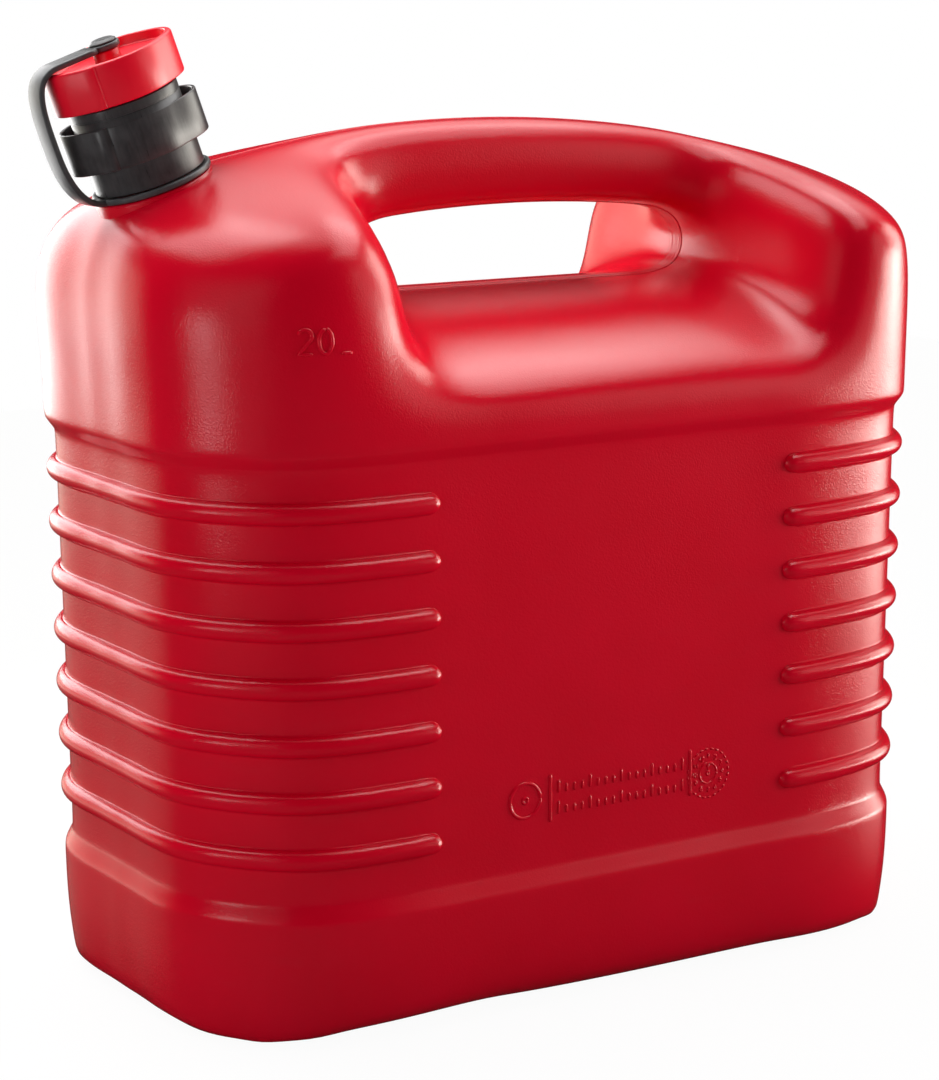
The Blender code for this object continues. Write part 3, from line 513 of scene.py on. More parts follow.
def glossy_red():
    """Injection-moulded cap: smoother and a little brighter than the can."""
    finish = Finish("glossy_red")
    uneven = finish.noise(70.0, detail=1.0)
    along = finish.stretched((1.0, 1.0, 7.0), turn=(0.0, -NECK_TILT, 0.0))
    streaks = finish.noise(700.0, place=along)
    depth = finish.bump(uneven, distance=0.0006, strength=0.25)
    depth = finish.bump(streaks, distance=0.00003, strength=0.4, under=depth)
    finish.set(Base_Color=finish.colours(uneven, *CAP_REDS), Roughness=0.27 + streaks * 0.10,
               Normal=depth)
    return finish.material


def satin_grey(name, shades, roughness):
    """Grey injection-moulded plastic with fine flow streaks along the neck's axis."""
    finish = Finish(name)
    mottle = finish.noise(160.0, detail=3.0, roughness=0.6)
    along = finish.stretched((1.0, 1.0, 9.0), turn=(0.0, -NECK_TILT, 0.0))
    streaks = finish.noise(900.0, detail=3.0, roughness=0.6, place=along)
    blotch = finish.between(mottle * 0.6 + streaks * 0.4, low=0.35, high=0.68)
    depth = finish.bump(streaks, distance=0.00006, strength=0.35)
    finish.set(Base_Color=finish.colours(blotch, *shades), Roughness=roughness + streaks * 0.12,
               Normal=depth)
    return finish.material


def seal_rubber():
    finish = Finish("seal_rubber")
    dust = finish.noise(900.0, detail=3.0, roughness=0.6)
    finish.set(Base_Color=finish.colours(dust, *RUBBER_BLACKS), Roughness=0.62 + dust * 0.15,
               Normal=finish.bump(dust, distance=0.00004, strength=0.5))
    return finish.material


# Piece helpers

def finish_piece(name, mesh, material, slot, body, *replaced):
    obj = new_piece(name, mesh)
    obj.data.materials.clear()
    obj.data.materials.append(material)
    if replaced:
        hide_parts(*replaced)
    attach(obj, body)


def new_piece(name, mesh):
    obj = bpy.data.objects.new(name, mesh)
    bpy.context.scene.collection.objects.link(obj)
    return obj


def baked(obj):
    """The object's evaluated shape as a plain mesh; the object is removed."""
    graph = bpy.context.evaluated_depsgraph_get()
    graph.update()
    mesh = bpy.data.meshes.new_from_object(obj.evaluated_get(graph), depsgraph=graph)
    bpy.data.objects.remove(obj, do_unlink=True)
    return mesh


def cleaned(mesh):
    bm = bmesh.new()
    bm.from_mesh(mesh)
    bmesh.ops.remove_doubles(bm, verts=bm.verts, dist=WELD_DISTANCE)
    bmesh.ops.recalc_face_normals(bm, faces=bm.faces)
    for face in bm.faces:
        face.smooth = True
    bm.to_mesh(mesh)
    bm.free()
    return mesh


def joined(name, *meshes):
    bm = bmesh.new()
    for mesh in meshes:
        bm.from_mesh(mesh)
    out = bpy.data.meshes.new(name)
    bm.to_mesh(out)
    bm.free()
    return out


def loft(name, rings, closed=False):
    """Skin over rings of equal length in the neck's frame; unless it is a loop, its ends are closed
    to their middles."""
    bm = bmesh.new()
    rows = [[bm.verts.new(NECK @ Vector(point)) for point in ring] for ring in rings]
    pairs = list(zip(rows, rows[1:])) + ([(rows[-1], rows[0])] if closed else [])
    for lower, upper in pairs:
        for i in range(len(lower)):
            bm.faces.new((lower[i - 1], lower[i], upper[i], upper[i - 1]))
    if not closed:
        for row in (rows[0], rows[-1]):
            middle = bm.verts.new(sum((vert.co for vert in row), Vector()) / len(row))
            for i in range(len(row)):
                bm.faces.new((row[i - 1], row[i], middle))
    mesh = bpy.data.meshes.new(name)
    bm.to_mesh(mesh)
    bm.free()
    return cleaned(mesh)


def filleted(corners):
    """Outline through (across, up, fillet radius) corners, each rounded by its own radius."""
    points = []
    count = len(corners)
    for i, (x, y, radius) in enumerate(corners):
        here = Vector((x, y))
        if radius == 0 or i in (0, count - 1):
            points.append((x, y))
            continue
        before = (Vector(corners[i - 1][:2]) - here).normalized()
        after = (Vector(corners[i + 1][:2]) - here).normalized()
        half = before.angle(after) / 2
        reach = radius / math.tan(half)
        centre = here + (before + after).normalized() * radius / math.sin(half)
        start = here + before * reach - centre
        end = here + after * reach - centre
        for k in range(FILLET_POINTS + 1):
            arm = start.lerp(end, k / FILLET_POINTS).normalized() * radius
            points.append(tuple(centre + arm))
    return points


def turned(name, corners):
    """A body of revolution from (radius, height, fillet) corners; where the first is off the axis,
    they are a closed section."""
    rings = []
    for radius, height in filleted(corners):
        ring = []
        for k in range(TURNED_STEPS):
            angle = 2 * math.pi * k / TURNED_STEPS
            ring.append((radius * math.cos(angle), radius * math.sin(angle), height))
        rings.append(ring)
    return loft(name, rings, closed=corners[0][0] > 0)


# Sweeps by Geometry Nodes

def sweep_tree():
    """Curve to Mesh over edges that carry their own outward direction and thickness."""
    tree = bpy.data.node_groups.new("moulded_sweep", "GeometryNodeTree")
    tree.interface.new_socket("Path", in_out="INPUT", socket_type="NodeSocketGeometry")
    section = tree.interface.new_socket("Section", in_out="INPUT", socket_type="NodeSocketObject")
    finish = tree.interface.new_socket("Finish", in_out="INPUT", socket_type="NodeSocketMaterial")
    tree.interface.new_socket("Swept", in_out="OUTPUT", socket_type="NodeSocketGeometry")

    def node(kind, settings=None, **inputs):
        return add_node(tree, kind, settings, spaced(inputs)).outputs

    def attribute(name, data_type):
        settings = {"data_type": data_type}
        return node("GeometryNodeInputNamedAttribute", settings, Name=name)["Attribute"]

    given = node("NodeGroupInput")
    path = node("GeometryNodeMeshToCurve", Mesh=given["Path"])[0]
    turned_path = node("GeometryNodeSetCurveNormal", {"mode": "FREE"}, Curve=path,
                       Normal=attribute("outward", "FLOAT_VECTOR"))[0]
    shape = node("GeometryNodeObjectInfo", Object=given["Section"])["Geometry"]
    section_curve = node("GeometryNodeMeshToCurve", Mesh=shape)[0]
    skin = node("GeometryNodeCurveToMesh", Curve=turned_path, Profile_Curve=section_curve,
                Scale=attribute("thickness", "FLOAT"), Fill_Caps=True)[0]
    smooth = node("GeometryNodeSetShadeSmooth", Geometry=skin)[0]
    real = node("GeometryNodeRealizeInstances", Geometry=smooth)[0]
    coated = node("GeometryNodeSetMaterial", Geometry=real, Material=given["Finish"])[0]
    node("NodeGroupOutput", Swept=coated)
    return tree, section.identifier, finish.identifier


SWEEP, SECTION_INPUT, FINISH_INPUT = sweep_tree()


def edges_object(name, runs):
    """Loose edges through each run of points; a run is (points, closed)."""
    points = []
    edges = []
    for run, closed in runs:
        first = len(points)
        points += [tuple(point) for point in run]
        edges += [(i, i + 1) for i in range(first, len(points) - 1)]
        if closed:
            edges.append((len(points) - 1, first))
    mesh = bpy.data.meshes.new(name)
    mesh.from_pydata(points, edges, [])
    return new_piece(name, mesh)


def swept(name, paths, section, material):
    """Mesh of a section swept along paths of (points, outward directions, thicknesses, closed)."""
    base = edges_object(name, [(points, closed) for points, _, _, closed in paths])
    outward = base.data.attributes.new("outward", "FLOAT_VECTOR", "POINT")
    outward.data.foreach_set("vector", [part for _, directions, _, _ in paths
                                        for direction in directions for part in direction])
    thickness = base.data.attributes.new("thickness", "FLOAT", "POINT")
    thickness.data.foreach_set("value", [size for _, _, sizes, _ in paths for size in sizes])
    shape = edges_object(name + "_section", [([(x, y, 0.0) for x, y in section], True)])
    modifier = base.modifiers.new("sweep", "NODES")
    modifier.node_group = SWEEP
    modifier[SECTION_INPUT] = shape
    modifier[FINISH_INPUT] = material
    mesh = baked(base)
    bpy.data.objects.remove(shape, do_unlink=True)
    return cleaned(mesh)


# Plan of the can

def half_length(height):
    """The ends lean outwards a little towards the top."""
    return WALL_HALF_LENGTH + END_DRAFT_SHARE * height


def corner_point(side, angle, step, height):
    radius = WALL_CORNER_RADIUS + step
    centre_x = half_length(height) - WALL_CORNER_RADIUS
    centre_y = WALL_HALF_WIDTH - WALL_CORNER_RADIUS
    return Vector((side * (centre_x + radius * math.cos(angle)),
                   -centre_y - radius * math.sin(angle)))


def recess_columns():
    """X of the recess's two ends and of the three columns between them, at the parting plane."""
    between = [HOLE_LEFT + share * (HOLE_RIGHT - HOLE_LEFT) for share in MIDDLE_COLUMN_SHARES]
    return [HOLE_LEFT] + between + [HOLE_RIGHT]


def half_plan(step, height):
    """Points of the plan on the front half, from the neck end round to the far end."""
    end = half_length(height) + step
    front = -(WALL_HALF_WIDTH + step)
    points = [Vector((-end, 0.0)), Vector((-end, -HANDLE_HALF_WIDTH))]
    points += [corner_point(-1, angle, step, height) for angle in NECK_CORNER_ANGLES]
    points += [Vector((x, front)) for x in recess_columns()]
    points += [corner_point(1, angle, step, height) for angle in reversed(FAR_CORNER_ANGLES)]
    points += [Vector((end, -HANDLE_HALF_WIDTH)), Vector((end, 0.0))]
    return points


def plan_controls(step, height):
    """Control points of the closed cubic spline that passes through the plan's points."""
    half = half_plan(step, height)
    points = half + [Vector((p.x, -p.y)) for p in reversed(half[1:-1])]
    count = len(points)
    controls = [point.copy() for point in points]
    for _ in range(SPLINE_ROUNDS):
        smooth = [(controls[i - 1] + controls[i] * 4 + controls[(i + 1) % count]) / 6
                  for i in range(count)]
        controls = [c + p - s for c, p, s in zip(controls, points, smooth)]
    return controls


def plan_outline(step, height, pieces):
    """Points on the plan's spline, with so many pieces between two of its knots."""
    controls = plan_controls(step, height)
    count = len(controls)
    outline = []
    for i in range(count):
        a, b, c, d = (controls[(i + k) % count] for k in (-1, 0, 1, 2))
        for piece in range(pieces):
            t = piece / pieces
            outline.append((a * (1 - t) ** 3 + b * (3 * t ** 3 - 6 * t ** 2 + 4)
                            + c * (-3 * t ** 3 + 3 * t ** 2 + 3 * t + 1) + d * t ** 3) / 6)
    return outline


# Heights of the top

def arch(x, centre=ARCH_CENTRE):
    return ARCH_TOP - (x - centre) ** 2 / (2 * ARCH_RADIUS)


def crown_drop(y):
    return y ** 2 / (2 * CROWN_RADIUS)


def underside(x):
    return arch(x, UNDERSIDE_CENTRE) - HANDLE_DEPTH


# Cage of the shell: columns along X, rows from the parting plane to the front, layers upwards

def shell_layers():
    """(height, how far the plan stands proud of the wall, edge) of each layer below the recess."""
    return [
        (0.0, SKIRT_STEP - BASE_FILLET_INSET, "base"),
        (BASE_FILLET_HEIGHT, SKIRT_STEP, "smooth"),
        (SKIRT_TOP - EDGE_SUPPORT, SKIRT_STEP, "smooth"),
        (SKIRT_TOP, SKIRT_STEP, "step"),
        (WALL_BOTTOM, 0.0, "step"),
        (WALL_BOTTOM + EDGE_SUPPORT, 0.0, "smooth"),
        (WALL_TOP - EDGE_SUPPORT, 0.0, "smooth"),
        (WALL_TOP, 0.0, "step"),
        (BAND_BOTTOM, BAND_STEP, "step"),
        (BAND_BOTTOM + EDGE_SUPPORT, BAND_STEP, "smooth"),
    ]


def edge_crease(edge_kind, place):
    """Crease of a layer's edge that starts at a place of the half plan."""
    if edge_kind == "base":
        return BASE_CREASE_SHARES[place]
    return STEP_CREASE_SHARE if edge_kind == "step" else 0.0


def ring_index(column, row):
    """Place of a cage corner in half_plan, or None where the corner is inside the plan."""
    if column == 0:
        return row
    if column == COLUMN_COUNT:
        return 2 * ROW_COUNT + COLUMN_COUNT - row
    return ROW_COUNT + column if row == ROW_COUNT else None


def at_recess_end(column, left, right):
    """Minus the left size or the right size at the recess's two end columns, nothing elsewhere."""
    if column == FIRST_HOLE_COLUMN:
        return -left
    return right if column == LAST_HOLE_COLUMN else 0.0


def column_x(column, row, height):
    """X of a column inside the plan; the recess's ends lean and draft away from the hole."""
    if column < FIRST_HOLE_COLUMN:
        return corner_point(-1, NECK_CORNER_ANGLES[-1], BAND_STEP, height).x
    if column > LAST_HOLE_COLUMN:
        return corner_point(1, FAR_CORNER_ANGLES[-1], BAND_STEP, height).x
    draft = at_recess_end(column, HOLE_LEFT_DRAFT, HOLE_RIGHT_DRAFT) * (row / ROW_COUNT) ** 2
    return recess_columns()[column - FIRST_HOLE_COLUMN] + draft


def row_y(row):
    return (0.0, -HANDLE_HALF_WIDTH, RECESS_ROW, -WALL_HALF_WIDTH - BAND_STEP)[row]


def floor_corner(column, row, ring):
    """Layer of the recess floor; on the piers it is a plain ring half way up."""
    if FIRST_HOLE_COLUMN <= column <= LAST_HOLE_COLUMN:
        x = column_x(column, row, PIER_MIDDLE)
        front = FLOOR_FRONT_EDGE - abs(at_recess_end(column, FLOOR_CORNER_DROP, FLOOR_CORNER_DROP))
        height = (FLOOR_RIDGE, FLOOR_RIDGE, FLOOR_RIDGE - FLOOR_SLOPE_DROP, front)[row]
        return Vector((x, row_y(row), height))
    return Vector((ring.x, ring.y, PIER_MIDDLE)) if ring is not None else None


def underside_corner(column, row, ring):
    """Layer of the handle's underside; on the piers it is the foot of the shoulder."""
    if ring is not None and not FIRST_HOLE_COLUMN <= column <= LAST_HOLE_COLUMN:
        return Vector((ring.x - (0.0 if column else NECK_END_BULGE), ring.y, SHOULDER_BOTTOM))
    x = column_x(column, row, SHOULDER_BOTTOM)
    if row <= 1:
        return Vector((x, row_y(row), underside(x)))
    x += at_recess_end(column, HOLE_LEFT_MIDDLE_LEAN, HOLE_RIGHT_MIDDLE_LEAN)
    return Vector((x, row_y(row), SHOULDER_BOTTOM))


def top_corner(column, row, ring):
    """Layer of the crowned top, with its outermost corners drawn in and down at the shoulder."""
    if column in (0, COLUMN_COUNT):
        drop = FAR_END_DROP if column else NECK_END_DROP
        inset = ring * (1 - SHOULDER_INSET / WALL_HALF_WIDTH)
        return Vector((inset.x, inset.y, ARCH_TOP - drop - crown_drop(ring.y)))
    x = column_x(column, row, SHOULDER_BOTTOM)
    y = row_y(row)
    x += at_recess_end(column, HOLE_LEFT_TOP_LEAN, HOLE_RIGHT_TOP_LEAN) * row / ROW_COUNT
    if row < ROW_COUNT:
        return Vector((x, y, arch(x) - crown_drop(y)))
    front = y + SHOULDER_INSET
    edge = Vector((x, front)) if column in (FIRST_HOLE_COLUMN, LAST_HOLE_COLUMN) else ring
    height = arch(edge.x) - crown_drop(y) + FRONT_EDGE_RISE
    return Vector((edge.x, max(edge.y, front), height))


def cage_corners(layers):
    """Position of every cage corner, by (column, row, layer)."""
    corners = {}
    upper = (floor_corner, underside_corner, top_corner)
    upper_heights = (PIER_MIDDLE, SHOULDER_BOTTOM, SHOULDER_BOTTOM)
    rings = [plan_controls(step, height) for height, step, _ in layers]
    rings += [plan_controls(BAND_STEP, height) for height in upper_heights]
    for column in range(COLUMN_COUNT + 1):
        for row in range(ROW_COUNT + 1):
            place = ring_index(column, row)
            for layer, ring in enumerate(rings):
                edge = ring[place] if place is not None else None
                if layer >= len(layers):
                    corner = upper[layer - len(layers)](column, row, edge)
                elif edge is not None:
                    heel = 0.0 if layer else BASE_HEEL_RISE * HEEL_RISE_SHARES[place]
                    corner = Vector((edge.x, edge.y, layers[layer][0] + heel))
                else:
                    x = column_x(column, row, BAND_BOTTOM)
                    corner = Vector((x, row_y(row), layers[layer][0]))
                corners[column, row, layer] = corner
    return corners


def cell_is_full(column, row, layer, floor_layer):
    """Below the floor the can is whole; above it only the two piers and the handle are."""
    if layer < floor_layer or not FIRST_HOLE_COLUMN <= column < LAST_HOLE_COLUMN:
        return True
    return row == 0 and layer == floor_layer + 1


CELL_SIDES = {
    (-1, 0, 0): ((0, 0, 0), (0, 0, 1), (0, 1, 1), (0, 1, 0)),
    (1, 0, 0): ((1, 0, 0), (1, 1, 0), (1, 1, 1), (1, 0, 1)),
    (0, 1, 0): ((0, 1, 0), (0, 1, 1), (1, 1, 1), (1, 1, 0)),
    (0, -1, 0): ((0, 0, 0), (1, 0, 0), (1, 0, 1), (0, 0, 1)),
    (0, 0, -1): ((0, 0, 0), (0, 1, 0), (1, 1, 0), (1, 0, 0)),
    (0, 0, 1): ((0, 0, 1), (1, 0, 1), (1, 1, 1), (0, 1, 1)),
}


def shell_mesh():
    """Both halves of the can's outside, smoothed from its cage."""
    layers = shell_layers()
    corners = cage_corners(layers)
    floor_layer = len(layers)
    full = {(column, row, layer) for column in range(COLUMN_COUNT) for row in range(ROW_COUNT)
            for layer in range(floor_layer + 2) if cell_is_full(column, row, layer, floor_layer)}
    bm = bmesh.new()
    made = {}

    def vertex(key):
        if key not in made:
            made[key] = bm.verts.new(corners[key])
        return made[key]

    for cell in sorted(full):
        for step, quad in CELL_SIDES.items():
            beside = tuple(a + b for a, b in zip(cell, step))
            if beside in full or beside[1] < 0:
                continue
            bm.faces.new([vertex(tuple(a + b for a, b in zip(cell, corner))) for corner in quad])
    crease = bm.edges.layers.float.new("crease_edge")
    places = {vert: key for key, vert in made.items()}
    for edge in bm.edges:
        first, second = (places[vert] for vert in edge.verts)
        ends = {ring_index(*first[:2]), ring_index(*second[:2])}
        if None not in ends and first[2] == second[2] < floor_layer:
            edge[crease] = edge_crease(layers[first[2]][2], min(ends))
    bmesh.ops.recalc_face_normals(bm, faces=bm.faces)
    mesh = bpy.data.meshes.new("shell_cage")
    bm.to_mesh(mesh)
    bm.free()
    cage = new_piece("shell_cage", mesh)
    mirror = cage.modifiers.new("other_half", "MIRROR")
    mirror.use_axis = (False, True, False)
    mirror.merge_threshold = MIRROR_MERGE
    smooth = cage.modifiers.new("smooth", "SUBSURF")
    smooth.levels = SHELL_LEVELS
    smooth.render_levels = SHELL_LEVELS
    return grooved(cleaned(baked(cage)))


def grooved(mesh):
    """Raise the underside into two shallow grooves across it."""
    for vert in mesh.vertices:
        for middle in (NECK_END_GROOVE_X, FAR_END_GROOVE_X):
            away = min(abs(vert.co.x - middle), GROOVE_RADIUS)
            ceiling = GROOVE_DEPTH - GROOVE_RADIUS + math.sqrt(GROOVE_RADIUS ** 2 - away ** 2)
            vert.co.z = max(vert.co.z, ceiling)
    return mesh


# Can: shell, ribs, seams and neck

def even_steps(start, end, count):
    """Values in equal steps, both ends included."""
    return [start + (end - start) * k / count for k in range(count + 1)]


def rib_section():
    """Rounded crest between two small foot fillets, closed below the wall's surface."""
    crest_centre = RIB_PROUD - RIB_CREST_RADIUS
    reach = RIB_CREST_RADIUS + RIB_FOOT_RADIUS
    foot = math.sqrt(reach ** 2 - (RIB_FOOT_RADIUS - crest_centre) ** 2)
    meeting = math.atan2(RIB_FOOT_RADIUS - crest_centre, foot)
    upright = math.radians(90)
    half = [(-RIB_ROOT, foot + RIB_FOOT_RADIUS)]
    half += [(RIB_FOOT_RADIUS + RIB_FOOT_RADIUS * math.sin(angle),
              foot - RIB_FOOT_RADIUS * math.cos(angle))
             for angle in even_steps(-upright, meeting, RIB_FOOT_POINTS)]
    half += [(crest_centre + RIB_CREST_RADIUS * math.sin(angle), RIB_CREST_RADIUS * math.cos(angle))
             for angle in even_steps(meeting, upright, RIB_CREST_POINTS)[1:]]
    return half + [(x, -y) for x, y in reversed(half[:-1])]


def tangent_at(line, i):
    return (line[min(i + 1, len(line) - 1)] - line[max(i - 1, 0)]).normalized()


def rib_path(side, height):
    """Path of one rib on the wall, with outward directions, thinning to nothing at its two tips."""
    end = [point for point in plan_outline(0.0, height, RIB_PLAN_PIECES)
           if side * point.x > RIB_START]
    end.sort(key=lambda p: math.atan2(p.y, side * p.x - RIB_TIP / 2))
    front = Vector((side * RIB_START, -WALL_HALF_WIDTH))
    head = [front + Vector((side * place, 0.0)) for place in RIB_TIP_PLACES]
    tail = [Vector((p.x, -p.y)) for p in reversed(head)]
    along = head + [p for p in end if side * (p.x - head[-1].x) > RIB_TIP_GAP] + tail
    tangents = [tangent_at(along, i) for i in range(len(along))]
    shares = [min(1.0, (side * p.x - RIB_START) / RIB_TIP_PLACES[-1]) for p in along]
    return ([(p.x, p.y, height) for p in along],
            [(side * tangent.y, -side * tangent.x, 0.0) for tangent in tangents],
            [max(RIB_LEAST_SIZE, math.sqrt(max(0.0, 1 - (1 - share) ** 2))) for share in shares],
            False)


def in_plane(angle):
    """The way up from +X by an angle, on the parting plane."""
    return Vector((math.cos(angle), 0.0, math.sin(angle)))


def seam_path(hits, closed):
    """Path of even thickness through what rays hit on the shell."""
    places, normals = ([tuple(hit[k]) for hit in hits] for k in (0, 1))
    return places, normals, [1.0] * len(hits), closed


def outer_seam(shell):
    """The seam over the top, as seen from the can's middle."""
    middle = Vector((0.0, 0.0, SEAM_MIDDLE))
    ways = [in_plane(angle) for angle in even_steps(SEAM_START, SEAM_END, SEAM_POINTS)]
    return seam_path([shell.ray_cast(middle + way, -way) for way in ways], False)


def recess_seam(shell):
    """The pinched seam all round the hand hole."""
    height = (FLOOR_RIDGE + SHOULDER_BOTTOM + HOLE_ROOF_RISE) / 2
    middle = Vector(((HOLE_LEFT + HOLE_RIGHT) / 2, 0.0, height))
    ways = [in_plane(angle) for angle in even_steps(0.0, 2 * math.pi, PINCH_POINTS)[:-1]]
    return seam_path([shell.ray_cast(middle, way) for way in ways], True)


def pinch_section():
    """Uneven fine beads side by side, left where the mould pinched the wall off."""
    last = len(PINCH_SHARES) - 1
    beads = [(share * PINCH_HEIGHT, PINCH_HALF_WIDTH * (2 * k / last - 1))
             for k, share in enumerate(PINCH_SHARES)]
    return [(-PINCH_HEIGHT, -PINCH_HALF_WIDTH)] + beads + [(-PINCH_HEIGHT, PINCH_HALF_WIDTH)]


def seam_section():
    """Two fine beads side by side on a low land."""
    half = [(-1.0, 1.0), (0.3, 1.0), (1.0, 0.72), (0.25, 0.45)]
    shares = [(up, -across) for up, across in half] + [(0.15, 0.0)] + half[::-1]
    return [(SEAM_HEIGHT * up, SEAM_HALF_WIDTH * across) for up, across in shares]


def helix(radius, bottom, top, pitch):
    """Thread path in the neck's frame, with outward directions, fading in and out."""
    turns = (top - bottom) / pitch
    count = int(turns * HELIX_STEPS)
    points = []
    directions = []
    sizes = []
    for k in range(count + 1):
        share = k / count
        angle = 2 * math.pi * turns * share
        away = Vector((math.cos(angle), math.sin(angle), 0.0))
        place = away * radius + Vector((0, 0, bottom + (top - bottom) * share))
        points.append(tuple(NECK @ place))
        directions.append(tuple(NECK.to_3x3() @ away))
        fade = min(1.0, share / THREAD_FADE, (1 - share) / THREAD_FADE)
        sizes.append(max(THREAD_LEAST_SIZE, fade))
    return points, directions, sizes, False


def thread_section(depth, half_width):
    crest = half_width * THREAD_CREST_SHARE
    return [(-depth, -half_width), (0.0, -half_width), (depth, -crest), (depth, crest),
            (0.0, half_width), (-depth, half_width)]


def make_can(red):
    mesh = shell_mesh()
    shell = BVHTree.FromPolygons([v.co for v in mesh.vertices], [p.vertices for p in mesh.polygons])
    neck = turned("neck", [
        (0.0, -NECK_ROOT, 0), (SEAT_RADIUS, -NECK_ROOT, 0), (SEAT_RADIUS, SEAT_TOP, SEAT_FILLET),
        (NECK_CORE, SEAT_TOP, NECK_FOOT_FILLET), (NECK_CORE, NECK_TOP, NECK_LIP_FILLET),
        (NECK_BORE, NECK_TOP, NECK_BORE_FILLET), (NECK_BORE, NECK_FLOOR, 0), (0.0, NECK_FLOOR, 0)])
    turns = helix(NECK_RADIUS - NECK_THREAD_DEPTH, NECK_THREAD_BOTTOM, NECK_THREAD_TOP,
                  NECK_THREAD_PITCH)
    thread = swept("neck_thread", [turns],
                   thread_section(NECK_THREAD_DEPTH, NECK_THREAD_HALF_WIDTH), red)
    finish_piece("can_shell", joined("can_shell", mesh, neck, thread), red,
                 "red_moulded_plastic", "can", "can_body")

    ribs = [rib_path(side, TOP_RIB_HEIGHT - number * RIB_PITCH)
            for side in (-1, 1) for number in range(RIB_COUNT)]
    finish_piece("end_ribs", swept("end_ribs", ribs, rib_section(), red), red,
                 "red_moulded_plastic", "can")

    fine = swept("parting_seam", [outer_seam(shell)], seam_section(), red)
    pinch = swept("pinch_seam", [recess_seam(shell)], pinch_section(), red)
    finish_piece("parting_seams", joined("parting_seams", fine, pinch), red,
                 "red_moulded_plastic", "can")
    return shell


# Raised marks on the front

def arc(centre, radius, start, end, count):
    angles = [math.radians(angle) for angle in even_steps(start, end, count)]
    return [(centre[0] + radius * math.cos(a), centre[1] + radius * math.sin(a)) for a in angles]


def digit_strokes(digit):
    """Single-line strokes of a digit in a box one high and about 0.6 wide."""
    top = arc((0.3, 0.74), 0.26, 170, -50, 14)
    bottom = arc((0.3, 0.27), 0.27, 100, -150, 16)
    shapes = {
        "0": [[(0.3 + 0.27 * math.sin(t), 0.5 + 0.5 * math.cos(t))
               for t in [2 * math.pi * k / 24 for k in range(25)]]],
        "1": [[(0.12, 0.80), (0.32, 1.0), (0.32, 0.0)]],
        "2": [top + [(0.04, 0.0), (0.58, 0.0)]],
        "3": [arc((0.3, 0.76), 0.24, 160, -90, 12), bottom],
        "4": [[(0.42, 0.0), (0.42, 1.0), (0.03, 0.30), (0.58, 0.30)]],
        "5": [[(0.54, 1.0), (0.12, 1.0), (0.08, 0.56)] + arc((0.29, 0.31), 0.30, 120, -150, 14)],
        "6": [[(0.48, 0.98), (0.10, 0.48)], arc((0.3, 0.28), 0.27, 0, 360, 20)],
        "7": [[(0.04, 1.0), (0.57, 1.0), (0.22, 0.0)]],
        "8": [arc((0.3, 0.76), 0.23, 0, 360, 18), arc((0.3, 0.27), 0.27, 0, 360, 20)],
        "9": [[(0.12, 0.02), (0.50, 0.52)], arc((0.3, 0.72), 0.27, 0, 360, 20)],
    }
    return shapes[digit]


def number_strokes(number, place, height):
    """Strokes of a whole number with its lower left corner at a place."""
    strokes = []
    for i, digit in enumerate(str(number)):
        for stroke in digit_strokes(digit):
            strokes.append([(place[0] + (x + DIGIT_PITCH * i) * height, place[1] + y * height)
                            for x, y in stroke])
    return strokes


def plate_ends():
    return [[(x, PLATE_BOTTOM), (x, PLATE_TOP)] for x in (PLATE_LEFT, PLATE_RIGHT)]


def plate_ticks():
    """Two rows of plain ticks between the plate's end bars."""
    strokes = []
    for row in range(PLATE_ROW_COUNT):
        bottom = PLATE_BOTTOM + PLATE_ROW_MARGIN + row * PLATE_ROW_PITCH
        for k in range(PLATE_TICK_COUNT):
            x = PLATE_LEFT + PLATE_TICK_MARGIN + k * PLATE_TICK_PITCH
            height = PLATE_SHORT_TICK if k % PLATE_LONG_EVERY else PLATE_LONG_TICK
            strokes.append([(x, bottom), (x, bottom + height)])
    return strokes


def dial_strokes():
    """A toothed date dial with plain month numbers and a pointer."""
    x, z = DIAL_PLACE
    tail, barb, tip = (z + DIAL_RADIUS * share for share in POINTER_SHARES)
    strokes = [arc(DIAL_PLACE, DIAL_RADIUS * DIAL_HUB_SHARE, 0, 360, 30),
               arc(DIAL_PLACE, DIAL_RADIUS * DIAL_PIN_SHARE, 0, 360, 8),
               [(x, tail), (x, tip)],
               [(x - POINTER_HALF_WIDTH, barb), (x, tip), (x + POINTER_HALF_WIDTH, barb)]]
    for month in range(12):
        angle = math.radians(90 - 30 * month)
        away = Vector((math.cos(angle), math.sin(angle)))
        centre = Vector(DIAL_PLACE) + away * DIAL_RADIUS * DIAL_MONTHS_SHARE
        half_width = DIGIT_MIDDLE + DIGIT_PITCH / 2 * (len(str(month + 1)) - 1)
        corner = centre - Vector((half_width * MONTH_HEIGHT, 0.5 * MONTH_HEIGHT))
        strokes += number_strokes(month + 1, corner, MONTH_HEIGHT)
    pitch = 360 / DIAL_TEETH
    for tooth in range(DIAL_TEETH):
        start = pitch * tooth
        strokes.append(arc(DIAL_PLACE, DIAL_RADIUS, start, start + pitch * TOOTH_SHARE, 4))
    return strokes


